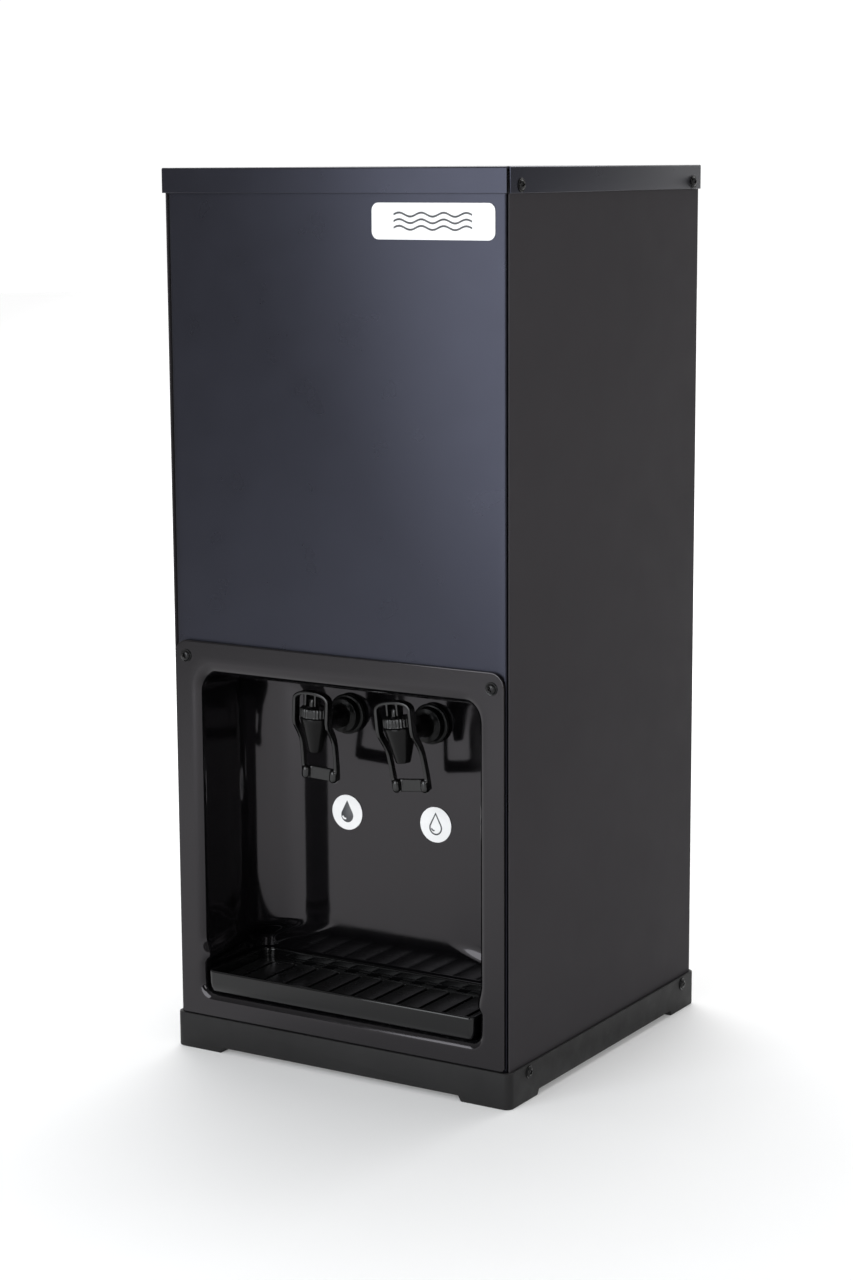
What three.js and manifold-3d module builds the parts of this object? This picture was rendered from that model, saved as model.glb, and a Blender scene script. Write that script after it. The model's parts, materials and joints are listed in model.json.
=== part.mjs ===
// Bench-height refrigerated water dispenser with two push-back taps in a moulded niche.
// Frame: millimetres, +Z up, origin at the centre of the footprint on the floor, front faces -Y.
import * as THREE from 'three';
import { mergeVertices } from 'three/addons/utils/BufferGeometryUtils.js';
import Module from 'manifold-3d';

const wasm = await Module();
wasm.setup();

// ---------------------------------------------------------------- driving dimensions
const HEIGHT = 735;            // floor to top of lid
const BODY = 160;              // half width and half depth of the sheet-metal body
const SHEET = 1.2;             // sheet-metal thickness
const GAP = 0.3;               // assembly gap between touching pieces
const SEAM = 2.8;              // inset of front and rear sheets from the side faces
const REAR_Y = 140;            // outer face of the recessed rear sheet

const BASE_X = 163, BASE_Y = 165, BASE_H = 30.2, BASE_R = 7;
const FOOT_H = 5, FOOT_L = 45, BASE_FLOOR = 7.5;

const LID_X = 161.5, LID_Y = 164.5, LID_H = 20;

const NICHE_FACE = -164;       // front face of the moulded niche panel
const NICHE_PLATE_X = 157, NICHE_PLATE_Z0 = 30.8, NICHE_PLATE_Z1 = 351;
const NICHE_BACK = -79;        // front surface of the niche's back wall
const NICHE_WALL = 2.2;        // moulding thickness
const NICHE_R_BACK = 44;       // vertical back corners above the tray pocket
const POCKET_R = 14, POCKET_TOP = 86; // tighter back corners of the tray pocket
const NICHE_FLOOR = 50.8;      // floor of the tray pocket
const NICHE_TOP = 322;         // ceiling of the niche just behind its rolled edge

const TRAY_X = 128, TRAY_Y0 = -164, TRAY_Y1 = -82.5, TRAY_Z0 = 52, TRAY_Z1 = 71.2;
const TRAY_WALL = 2, TRAY_LEDGE = 61, TRAY_R = 13;
const GRID_T = 2, GRID_PITCH = 22, GRID_SLOT = 3;

const TAP_X = 41, TAP_Z = 285; // tap shank axis
const TAP_TURN = { cold: 2.5, natural: -6 };  // degrees each tap stands off plumb about its shank
const SPOUT_Y = -128.7;        // spout axis
const LEVER_W = 35, LEVER_T = 3, LEVER_D = 8;
const PIVOT_Y = -134, PIVOT_DZ = 20;   // lever pin, above the shank axis

const SCREW_HEAD_R = 5.4;
const LID_SCREW_Z = 721, LID_SCREW_Y = [-145, 147];
const BASE_SCREW_Z = 24, BASE_SCREW_Y = [-134, 139.5];
const NICHE_SCREW = [146, 338];

const SHELF_Z = 346;
const TANK = { x: -45, y: 0, r: 60, z0: 400, z1: 610 };
const FILTER = { x: 108, y: 20, r: 28, z0: 400, z1: 600 };
const COMP = { x: 0, y: 62, r: 48, z0: 18, z1: 150 };
const KNOB = { x: 60, z: 420 };
const WATER_IN = { x: -90, z: 500 };
const POWER_IN = { x: 95, z: 95 };

// ---------------------------------------------------------------- materials
const mat = (color, roughness, metalness = 0) => new THREE.MeshStandardMaterial({ color, roughness, metalness });
const M = {
  paint: mat(0x2a2b2e, 0.4, 0.1),
  niche: mat(0x161617, 0.22),
  base: mat(0x232323, 0.6),
  tap: mat(0x1b1b1c, 0.35),
  rubber: mat(0x141414, 0.85),
  screw: mat(0x202022, 0.35, 0.8),
  zinc: mat(0xb6b8ba, 0.35, 0.9),
  steel: mat(0xc8cacc, 0.28, 0.95),
  copper: mat(0xb46f4a, 0.3, 0.95),
  white: mat(0xf2f2f0, 0.45),
  foam: mat(0xe9e7df, 0.9),
  hose: mat(0xd8dde2, 0.4),
  black_enamel: mat(0x151618, 0.35, 0.2),
};

// ---------------------------------------------------------------- helpers
function signedVolume(p, t) {
  let v = 0;
  for (let i = 0; i < t.length; i += 3) {
    const a = 3 * t[i], b = 3 * t[i + 1], c = 3 * t[i + 2];
    v += p[a] * (p[b + 1] * p[c + 2] - p[b + 2] * p[c + 1])
       + p[a + 1] * (p[b + 2] * p[c] - p[b] * p[c + 2])
       + p[a + 2] * (p[b] * p[c + 1] - p[b + 1] * p[c]);
  }
  return v;
}
function solid(geometry) {
  let g = geometry.clone();
  g.deleteAttribute('normal');
  g.deleteAttribute('uv');
  g = mergeVertices(g, 1e-4);
  const p = new Float32Array(g.attributes.position.array);
  const src = g.index.array, tri = [];
  for (let i = 0; i < src.length; i += 3) {
    if (src[i] !== src[i + 1] && src[i + 1] !== src[i + 2] && src[i] !== src[i + 2]) tri.push(src[i], src[i + 1], src[i + 2]);
  }
  if (signedVolume(p, tri) < 0) for (let i = 0; i < tri.length; i += 3) [tri[i + 1], tri[i + 2]] = [tri[i + 2], tri[i + 1]];
  return new wasm.Manifold(new wasm.Mesh({ numProp: 3, vertProperties: p, triVerts: new Uint32Array(tri) }));
}
function geometryOf(m) {
  const { vertProperties, triVerts } = m.getMesh();
  const g = new THREE.BufferGeometry();
  g.setAttribute('position', new THREE.BufferAttribute(new Float32Array(vertProperties), 3));
  g.setIndex(new THREE.BufferAttribute(new Uint32Array(triVerts), 1));
  g.computeVertexNormals();
  return g;
}
const cut = (a, ...list) => list.reduce((s, b) => s.subtract(b), a);
const join = (a, ...list) => list.reduce((s, b) => s.add(b), a);

// rounded rectangle, radii in order: low-left, low-right, high-right, high-left
function rr(x0, x1, y0, y1, r = 0) {
  const [a, b, c, d] = Array.isArray(r) ? r : [r, r, r, r];
  const s = new THREE.Shape();
  s.moveTo(x0 + a, y0);
  s.lineTo(x1 - b, y0);
  if (b) s.absarc(x1 - b, y0 + b, b, -Math.PI / 2, 0, false);
  s.lineTo(x1, y1 - c);
  if (c) s.absarc(x1 - c, y1 - c, c, 0, Math.PI / 2, false);
  s.lineTo(x0 + d, y1);
  if (d) s.absarc(x0 + d, y1 - d, d, Math.PI / 2, Math.PI, false);
  s.lineTo(x0, y0 + a);
  if (a) s.absarc(x0 + a, y0 + a, a, Math.PI, 1.5 * Math.PI, false);
  return s;
}
function poly(points) {
  const s = new THREE.Shape();
  points.forEach(([x, y], i) => (i ? s.lineTo(x, y) : s.moveTo(x, y)));
  s.closePath();
  return s;
}
const YZX = new THREE.Matrix4().makeBasis(new THREE.Vector3(0, 1, 0), new THREE.Vector3(0, 0, 1), new THREE.Vector3(1, 0, 0));
function prismZ(shape, z0, z1, seg = 4) {
  return solid(new THREE.ExtrudeGeometry(shape, { depth: z1 - z0, bevelEnabled: false, curveSegments: seg }).translate(0, 0, z0));
}
function prismY(shape, y0, y1, seg = 4) {      // shape drawn in x, z
  return solid(new THREE.ExtrudeGeometry(shape, { depth: y1 - y0, bevelEnabled: false, curveSegments: seg }).rotateX(Math.PI / 2).translate(0, y1, 0));
}
function prismX(shape, x0, x1, seg = 4) {      // shape drawn in y, z
  return solid(new THREE.ExtrudeGeometry(shape, { depth: x1 - x0, bevelEnabled: false, curveSegments: seg }).applyMatrix4(YZX).translate(x0, 0, 0));
}
function box(x0, x1, y0, y1, z0, z1) {
  return solid(new THREE.BoxGeometry(x1 - x0, y1 - y0, z1 - z0).translate((x0 + x1) / 2, (y0 + y1) / 2, (z0 + z1) / 2));
}
// solid of revolution about Z from [r, z] points that start and end on the axis, or close on themselves
function revolve(profile, seg = 20) {
  const pts = profile.map(([r, z]) => new THREE.Vector2(r, z));
  let area = 0;
  pts.forEach((p, i) => { const q = pts[(i + 1) % pts.length]; area += p.x * q.y - q.x * p.y; });
  if (area < 0) pts.reverse();
  if (pts[0].x > 0) pts.push(pts[0].clone());
  return solid(new THREE.LatheGeometry(pts, seg).rotateX(Math.PI / 2));
}
const cylZ = (x, y, r, z0, z1, seg = 16) => revolve([[0, z0], [r, z0], [r, z1], [0, z1]], seg).translate([x, y, 0]);
const cylY = (x, z, r, y0, y1, seg = 16) => solid(new THREE.CylinderGeometry(r, r, y1 - y0, seg).translate(x, (y0 + y1) / 2, z));
const cylX = (y, z, r, x0, x1, seg = 16) => solid(new THREE.CylinderGeometry(r, r, x1 - x0, seg).rotateZ(Math.PI / 2).translate((x0 + x1) / 2, y, z));
// closed skin through equal-length rings of [x, y, z], capped flat at both ends
function loft(rings) {
  const n = rings[0].length, pos = [], idx = [];
  rings.forEach((ring) => ring.forEach((p) => pos.push(...p)));
  for (let k = 0; k + 1 < rings.length; k++) for (let i = 0; i < n; i++) {
    const a = k * n + i, b = k * n + (i + 1) % n, c = a + n, d = b + n;
    idx.push(a, b, d, a, d, c);
  }
  const cap = (k, flip) => {
    const o = pos.length / 3;
    pos.push(...[0, 1, 2].map((j) => rings[k].reduce((s, p) => s + p[j], 0) / n));
    for (let i = 0; i < n; i++) {
      const a = k * n + i, b = k * n + (i + 1) % n;
      if (flip) idx.push(o, b, a); else idx.push(o, a, b);
    }
  };
  cap(0, true);
  cap(rings.length - 1, false);
  const g = new THREE.BufferGeometry();
  g.setAttribute('position', new THREE.Float32BufferAttribute(pos, 3));
  g.setIndex(idx);
  return solid(g);
}
// rounded rectangle ring in x, z at a given y: seg points per corner
function ringXZ(y, w, z0, z1, rBottom, rTop, seg = 5) {
  const out = [];
  const corner = (cx, cz, r, a0) => {
    for (let i = 0; i <= seg; i++) {
      const a = a0 + (i / seg) * Math.PI / 2;
      out.push([cx + r * Math.cos(a), y, cz + r * Math.sin(a)]);
    }
  };
  corner(w - rBottom, z0 + rBottom, rBottom, -Math.PI / 2);
  corner(w - rTop, z1 - rTop, rTop, 0);
  corner(-w + rTop, z1 - rTop, rTop, Math.PI / 2);
  corner(-w + rBottom, z0 + rBottom, rBottom, Math.PI);
  return out;
}
function tube(points, radius, sides = 8, steps = 24) {
  const path = new THREE.CatmullRomCurve3(points.map((p) => new THREE.Vector3(...p)), false, 'centripetal');
  const section = new THREE.Shape();
  for (let i = 0; i < sides; i++) {
    const a = (i / sides) * 2 * Math.PI;
    if (i) section.lineTo(radius * Math.cos(a), radius * Math.sin(a)); else section.moveTo(radius * Math.cos(a), radius * Math.sin(a));
  }
  section.closePath();
  return solid(new THREE.ExtrudeGeometry(section, { steps, extrudePath: path, bevelEnabled: false }));
}
class Helix extends THREE.Curve {
  constructor(radius, z0, z1, turns) { super(); Object.assign(this, { radius, z0, z1, turns }); }
  getPoint(t, target = new THREE.Vector3()) {
    const a = t * this.turns * 2 * Math.PI;
    return target.set(this.radius * Math.cos(a), this.radius * Math.sin(a), this.z0 + t * (this.z1 - this.z0));
  }
}
function coil(radius, wire, z0, z1, turns, sides, perTurn) {
  const n = Math.round(turns * perTurn), pts = [];
  const curve = new Helix(radius, z0 + wire, z1 - wire, turns), rings = [];
  for (let k = 0; k <= n; k++) {
    const c = curve.getPoint(k / n), a = (k / n) * turns * 2 * Math.PI;
    const ring = [];
    for (let i = 0; i < sides; i++) {
      const b = (i / sides) * 2 * Math.PI;
      const r = radius + wire * Math.cos(b);
      ring.push([r * Math.cos(a), r * Math.sin(a), c.z + wire * Math.sin(b)]);
    }
    rings.push(ring);
  }
  return loft(rings);
}

const machine = new THREE.Group();
function node(name, manifold, material, parent = machine) {
  const mesh = new THREE.Mesh(geometryOf(manifold), material);
  mesh.name = name;
  parent.add(mesh);
  return mesh;
}

// ---------------------------------------------------------------- moulded base with four corner feet
{
  let base = prismZ(rr(-BASE_X, BASE_X, -BASE_Y, BASE_Y, BASE_R), 0, BASE_H, 3);
  base = cut(base, box(-BODY - GAP, BODY + GAP, -BODY - GAP, BODY + GAP, BASE_FLOOR, BASE_H + 1));
  const nx = BASE_X - FOOT_L, ny = BASE_Y - FOOT_L;
  base = cut(base,
    prismY(poly([[-nx, -1], [nx, -1], [nx, 0], [nx - 3, FOOT_H], [-nx + 3, FOOT_H], [-nx, 0]]), -BASE_Y - 1, BASE_Y + 1),
    prismX(poly([[-ny, -1], [ny, -1], [ny, 0], [ny - 3, FOOT_H], [-ny + 3, FOOT_H], [-ny, 0]]), -BASE_X - 1, BASE_X + 1));
  for (const y of [-60, -40, -20]) base = cut(base, box(-70, 70, y - 3, y + 3, -1, BASE_FLOOR + 1));
  for (const y of BASE_SCREW_Y) base = cut(base, cylX(y, BASE_SCREW_Z, 2.3, -BASE_X - 1, BASE_X + 1, 8));
  node('base_tray', base, M.base);
}

// ---------------------------------------------------------------- sheet-metal body
for (const [name, s] of [['left_side_panel', -1], ['right_side_panel', 1]]) {
  const xo = s * BODY, xi = s * (BODY - SHEET);
  let panel = box(Math.min(xo, xi), Math.max(xo, xi), -BODY, BODY, BASE_FLOOR + GAP, HEIGHT - 3);
  const hx = [xi, s * (BODY - 12)].sort((a, b) => a - b);
  panel = join(panel, box(s > 0 ? hx[0] : hx[0], s > 0 ? hx[1] + 0.1 : hx[1], -BODY + 20, REAR_Y - 6, HEIGHT - 3 - SHEET, HEIGHT - 3));
  if (s < 0) panel = join(panel, box(xi - 0.1, xi + 10.8, -BODY + 20, REAR_Y - 6, HEIGHT - 3 - SHEET, HEIGHT - 3));
  for (const y of LID_SCREW_Y) panel = cut(panel, cylX(y, LID_SCREW_Z, 2.2, s > 0 ? BODY - 4 : -BODY - 4, s > 0 ? BODY + 4 : -BODY + 4, 8));
  for (const y of BASE_SCREW_Y) panel = cut(panel, cylX(y, BASE_SCREW_Z, 2.2, s > 0 ? BODY - 4 : -BODY - 4, s > 0 ? BODY + 4 : -BODY + 4, 8));
  node(name, panel, M.paint);
}
{
  let front = box(-BODY + SEAM, BODY - SEAM, -BODY, -BODY + SHEET, BASE_FLOOR + GAP, HEIGHT - 3);
  front = cut(front, prismY(rr(-147.5, 147.5, 38, 343, [14, 14, 34, 34]), -BODY - 2, -BODY + 4, 5));
  for (const s of [-1, 1]) front = cut(front, cylY(s * NICHE_SCREW[0], NICHE_SCREW[1], 2.2, -BODY - 2, -BODY + 4, 8));
  node('front_panel', front, M.paint);

  let rear = box(-BODY + SHEET + 3.4, BODY - SHEET - 3.4, REAR_Y - SHEET, REAR_Y, BASE_FLOOR + GAP, HEIGHT - 3);
  for (let i = 0; i < 6; i++) for (const s of [-1, 1]) {
    rear = cut(rear, box(s > 0 ? 10 : -110, s > 0 ? 110 : -10, REAR_Y - 4, REAR_Y + 2, 160 + 24 * i, 167 + 24 * i));
  }
  for (let i = 0; i < 3; i++) rear = cut(rear, box(-60, 60, REAR_Y - 4, REAR_Y + 2, 600 + 20 * i, 607 + 20 * i));
  rear = cut(rear,
    cylY(KNOB.x, KNOB.z, 5, REAR_Y - 4, REAR_Y + 2, 12),
    cylY(WATER_IN.x, WATER_IN.z, 8.6, REAR_Y - 4, REAR_Y + 2, 12),
    box(POWER_IN.x - 14.3, POWER_IN.x + 14.3, REAR_Y - 4, REAR_Y + 2, POWER_IN.z - 10.8, POWER_IN.z + 10.8));
  node('rear_panel', rear, M.paint);
}
{
  let lid = prismZ(rr(-LID_X, LID_X, -LID_Y, LID_Y, 1.4), HEIGHT - LID_H, HEIGHT, 2);
  lid = cut(lid, box(-BODY - GAP, BODY + GAP, -LID_Y + SHEET, LID_Y - SHEET, HEIGHT - LID_H - 1, HEIGHT - SHEET));
  for (const y of LID_SCREW_Y) lid = cut(lid, cylX(y, LID_SCREW_Z, 2.2, -LID_X - 1, LID_X + 1, 8));
  node('top_lid', lid, M.paint);
}

// ---------------------------------------------------------------- moulded niche with rolled opening and tray pocket
{
  const t = NICHE_WALL;
  // rings are [y, half width, top z, bottom z, top corner radius, bottom corner radius]
  const mouth = [
    [NICHE_FACE - 0.6, 144.2, 336.2, 43, 26, 15],
    [NICHE_FACE, 143, 335, 44, 25, 14],
    [NICHE_FACE + 1.4, 138.6, 329.6, 46.6, 20.6, 11],
    [NICHE_FACE + 5, 134.8, 324.6, 49.4, 16.4, 8],
    [NICHE_FACE + 12, 133, NICHE_TOP, NICHE_FLOOR, 14, 7],
  ];
  // a hollow that ends in a rounded back: the show face, and the same form one wall thickness outside it
  const form = (front, radius, z1, top, drop, steps, offset) => {
    const rings = front.map(([y, w, zt, zb, rt, rb]) => [y, w + offset, zt + offset, zb - offset, rt + offset, rb + offset]);
    for (let i = 0; i <= steps; i++) {
      const r = (i / steps) * Math.PI / 2;
      rings.push([
        NICHE_BACK - radius + (radius + offset) * Math.sin(r), 132 + offset - (radius + offset) * (1 - Math.cos(r)),
        z1 + offset - drop * (1 - Math.cos(r)), NICHE_FLOOR - offset, top + offset, 7 + offset,
      ]);
    }
    return rings;
  };
  const ring = ([y, w, z1, z0, rt, rb]) => ringXZ(y, w, z0, z1, rb, rt);
  const pocketMouth = [[NICHE_FACE + 12, 133, POCKET_TOP, NICHE_FLOOR, 3, 7]];
  const shell = form(mouth.slice(2), NICHE_R_BACK, NICHE_TOP, 14, 10, 4, t);
  shell[0][0] = NICHE_FACE + 2;
  const plateRing = (y, d) => ringXZ(y, NICHE_PLATE_X - d, NICHE_PLATE_Z0 + d, NICHE_PLATE_Z1 - d, 2, 12 - d, 4);
  let niche = loft([plateRing(NICHE_FACE, 2.4), plateRing(NICHE_FACE + 0.8, 0.8), plateRing(NICHE_FACE + 2.2, 0), plateRing(-BODY - GAP, 0)]);
  niche = join(niche, loft(shell.map(ring)));
  niche = join(niche, loft(form(pocketMouth, POCKET_R, POCKET_TOP, 3, 2, 3, t).map(ring)));
  niche = cut(niche, loft(form(mouth, NICHE_R_BACK, NICHE_TOP, 14, 10, 4, 0).map(ring)));
  niche = cut(niche, loft(form(pocketMouth, POCKET_R, POCKET_TOP, 3, 2, 3, 0).map(ring)));
  for (const s of [-1, 1]) {
    // low ridge along each side wall that closes over the tray
    const ridge = prismY(poly([[s * 134, 73], [s * 130, 79], [s * 129.6, 81.5], [s * 130.6, 84], [s * 134, 92]]), NICHE_FACE + 9, NICHE_BACK - NICHE_R_BACK + 4);
    niche = join(niche, ridge);
    niche = cut(niche, cylY(s * TAP_X, TAP_Z, 10.8, NICHE_BACK - 2, NICHE_BACK + 5, 16), cylY(s * NICHE_SCREW[0], NICHE_SCREW[1], 2.2, -BODY - 6, -BODY + 2, 8));
  }
  // the floor that carries the drip tray is a separate flat pan, butted against the walls and the front plate
  const pan = box(-150, 150, -156, -60, 40, NICHE_FLOOR + 0.2);
  node('niche_floor', niche.intersect(pan), M.niche);
  node('niche_panel', cut(niche, box(-150, 150, -156 - 0.1, -60, 40, NICHE_FLOOR + 0.3)), M.niche);
}

// ---------------------------------------------------------------- drip tray and its grid
{
  const outline = (d) => rr(-TRAY_X + d, TRAY_X - d, TRAY_Y0 + d, TRAY_Y1 - d, [Math.max(4 - d, 1.2), Math.max(4 - d, 1.2), TRAY_R - d, TRAY_R - d]);
  let tray = prismZ(outline(0), TRAY_Z0, TRAY_Z1, 5);
  tray = cut(tray, prismZ(outline(TRAY_WALL), TRAY_LEDGE, TRAY_Z1 + 1, 5), prismZ(outline(4.6), TRAY_Z0 + 2, TRAY_LEDGE + 1, 5));
  for (const x of [-90, 90]) tray = join(tray, box(x - 2, x + 2, TRAY_Y0 + 12, TRAY_Y1 - 12, NICHE_FLOOR + GAP, TRAY_Z0 + 0.5));
  node('drip_tray', tray, M.niche);

  let grid = prismZ(outline(2.6), TRAY_LEDGE + GAP, TRAY_LEDGE + GAP + GRID_T, 5);
  for (let i = -5; i <= 5; i++) {
    const x = i * GRID_PITCH, end = Math.abs(i) === 5 ? -96 : -92.5;
    grid = cut(grid, box(x - GRID_SLOT / 2, x + GRID_SLOT / 2, -156, end, 50, 80));
    if (Math.abs(i) < 5) grid = cut(grid, box(x + 1.5, x + GRID_PITCH / 2 + 1.5, -89.2, -80, 50, 80));
  }
  node('drip_grid', grid, M.niche);
}

// ---------------------------------------------------------------- taps: drawn about the shank axis, wall side towards +Y
for (const [kind, s] of [['cold', -1], ['natural', 1]]) {
  const tap = new THREE.Group();
  tap.position.set(s * TAP_X, 0, TAP_Z);
  tap.rotation.y = THREE.MathUtils.degToRad(TAP_TURN[kind]);
  machine.add(tap);
  const at = (m) => m.translate([0, SPOUT_Y, 0]);

  // body: tapered spout with a threaded neck, a barrel, a wall flange and a threaded shank
  let body = at(revolve([[0, -23.5], [6, -23.5], [6.4, -22.6], [9.6, -10], [13.2, 4], [13.2, 5.8], [11, 6], [11, 12], [0, 12]], 16));
  let barrel = join(
    cylY(0, 0, 8, SPOUT_Y, NICHE_BACK - 8, 16),
    cylY(0, 0, 14.5, NICHE_BACK - 12, NICHE_BACK - 3, 16),
    cylY(0, 0, 17, NICHE_BACK - 5.2, NICHE_BACK - 2.1, 16),
    cylY(0, 0, 10, NICHE_BACK - 4, NICHE_BACK + 27, 16));
  barrel = cut(barrel, at(cylZ(0, 0, 14.1, 5.8, 20, 16)));
  body = join(body, barrel);
  body = cut(body, at(cylZ(0, 0, 7, -7, 13, 12)), at(cylZ(0, 0, 3.6, -24, -5, 10)), cylY(0, 0, 4.4, SPOUT_Y, NICHE_BACK + 28, 10));
  node(`${kind}_tap_body`, body, M.tap, tap);

  // ribbed union collar over the neck
  let bonnet = revolve([[0, 6.3], [13.7, 6.3], [13.7, 13.4], [12.9, 14.2], [0, 14.2]], 16);
  bonnet = cut(bonnet, cylZ(0, 0, 11.5, 5, 12.4, 16), cylZ(0, 0, 2.5, 5, 20, 8));
  node(`${kind}_tap_bonnet`, at(bonnet), M.tap, tap);

  // valve stem: plug, rod and a flat eye for the pin
  let stem = revolve([[0, -6.5], [5, -6.5], [6.5, -4.5], [6.5, -1.4], [2, -1.4], [2, 16], [0, 16]], 12);
  stem = join(stem, box(-2.8, 2.8, PIVOT_Y - SPOUT_Y - 3.2, 2.2, 15.4, 23.6));
  stem = cut(stem, cylX(PIVOT_Y - SPOUT_Y, PIVOT_DZ, 1.9, -5, 5, 8));
  node(`${kind}_valve_stem`, at(stem), M.white, tap);

  node(`${kind}_valve_spring`, at(coil(4, 0.55, -1.1, 12.1, 4, 4, 7)), M.steel, tap);
  node(`${kind}_lever_pin`, cylX(PIVOT_Y, PIVOT_DZ, 1.55, -6.2, 6.2, 8), M.steel, tap);

  // push-back lever: arch, two sides that drop back behind the spout, two ribs to the pin and a push bar
  const w = LEVER_W / 2, y0 = -139, top = 28.5;
  const side = [[y0, 21], [y0 + LEVER_D, 21], [y0 + LEVER_D, 1.5], [-122.5, -12.5], [-116.5, -45], [-117.2, -49.2], [-120.4, -49.7], [-122, -47], [-128.6, -15], [y0, 1]];
  let lever = null;
  for (const d of [-1, 1]) {
    const arm = prismX(poly(side), d > 0 ? w - LEVER_T : -w, d > 0 ? w : -w + LEVER_T);
    lever = lever ? join(lever, arm) : arm;
  }
  const arch = new THREE.Shape();
  const outer = [], inner = [];
  for (let i = 0; i <= 8; i++) {
    const a = Math.PI * i / 8;
    outer.push([w * Math.sign(Math.cos(a)) * Math.abs(Math.cos(a)) ** 0.8, 20 + (top - 20) * Math.sin(a) ** 0.8]);
    inner.push([(w - LEVER_T) * Math.sign(Math.cos(a)) * Math.abs(Math.cos(a)) ** 0.8, 20 + (top - 23) * Math.sin(a) ** 0.8]);
  }
  [...outer, ...inner.reverse()].forEach(([x, z], i) => (i ? arch.lineTo(x, z) : arch.moveTo(x, z)));
  arch.closePath();
  lever = join(lever, prismY(arch, y0, y0 + LEVER_D));
  for (const d of [-1, 1]) {
    const rib = prismX(poly([[y0, 27], [y0, 14.9], [y0 + 9, 14.9], [y0 + 9, 22.5], [y0 + LEVER_D, 27]]), d > 0 ? 3.5 : -5.7, d > 0 ? 5.7 : -3.5);
    lever = join(lever, rib);
  }
  lever = cut(lever, cylX(PIVOT_Y, PIVOT_DZ, 1.95, -7, 7, 8));
  lever = join(lever, box(-w + 1, w - 1, -121, -117, -49.6, -38.3));
  for (const d of [-1, 1]) lever = join(lever, cylZ(d * 14, -119.8, 3.4, -49.7, -38, 10));
  node(`${kind}_lever`, lever, M.tap, tap);

  node(`${kind}_wall_gasket`, cut(cylY(0, 0, 15.5, NICHE_BACK - 1.8, NICHE_BACK - 0.3, 14), cylY(0, 0, 10.6, NICHE_BACK - 3, NICHE_BACK + 1, 14)), M.rubber, tap);
  node(`${kind}_back_nut`, cut(cylY(0, 0, 16, NICHE_BACK + NICHE_WALL + GAP, NICHE_BACK + NICHE_WALL + GAP + 7, 6), cylY(0, 0, 10.6, NICHE_BACK, NICHE_BACK + 12, 14)), M.white, tap);
}

// ---------------------------------------------------------------- printed discs and the blank front label
for (const [name, x] of [['cold_disc', -43.6], ['natural_disc', 43.6]]) {
  node(name, cylY(x, 199.7, 15, NICHE_BACK - 0.7, NICHE_BACK - 0.3, 20), M.white);
}
node('front_label', prismY(rr(38, 148, 680, 708, 6), -BODY - 0.7, -BODY - 0.3), M.white);

// ---------------------------------------------------------------- flange-head screws, drawn pointing along -Z
function screw(shaftR, length) {
  const s = revolve([[0, 2.2], [3.6, 1.5], [4.3, 0.8], [SCREW_HEAD_R, 0.7], [SCREW_HEAD_R, 0], [shaftR, 0], [shaftR, -length], [0, -length]], 10);
  return cut(s, box(-2.2, 2.2, -0.55, 0.55, 1.0, 3));
}
function place(name, pos, axis) {
  const m = node(name, screw(1.8, 5), M.screw);
  m.position.set(...pos);
  m.quaternion.setFromUnitVectors(new THREE.Vector3(0, 0, 1), new THREE.Vector3(...axis));
}
for (const [side, s] of [['left', -1], ['right', 1]]) {
  LID_SCREW_Y.forEach((y, i) => place(`lid_screw_${side}_${i ? 'rear' : 'front'}`, [s * (LID_X + GAP), y, LID_SCREW_Z], [s, 0, 0]));
  BASE_SCREW_Y.forEach((y, i) => place(`base_screw_${side}_${i ? 'rear' : 'front'}`, [s * (BASE_X + GAP), y, BASE_SCREW_Z], [s, 0, 0]));
  place(`niche_screw_${side}`, [s * NICHE_SCREW[0], NICHE_FACE - GAP, NICHE_SCREW[1]], [0, -1, 0]);
}

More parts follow.
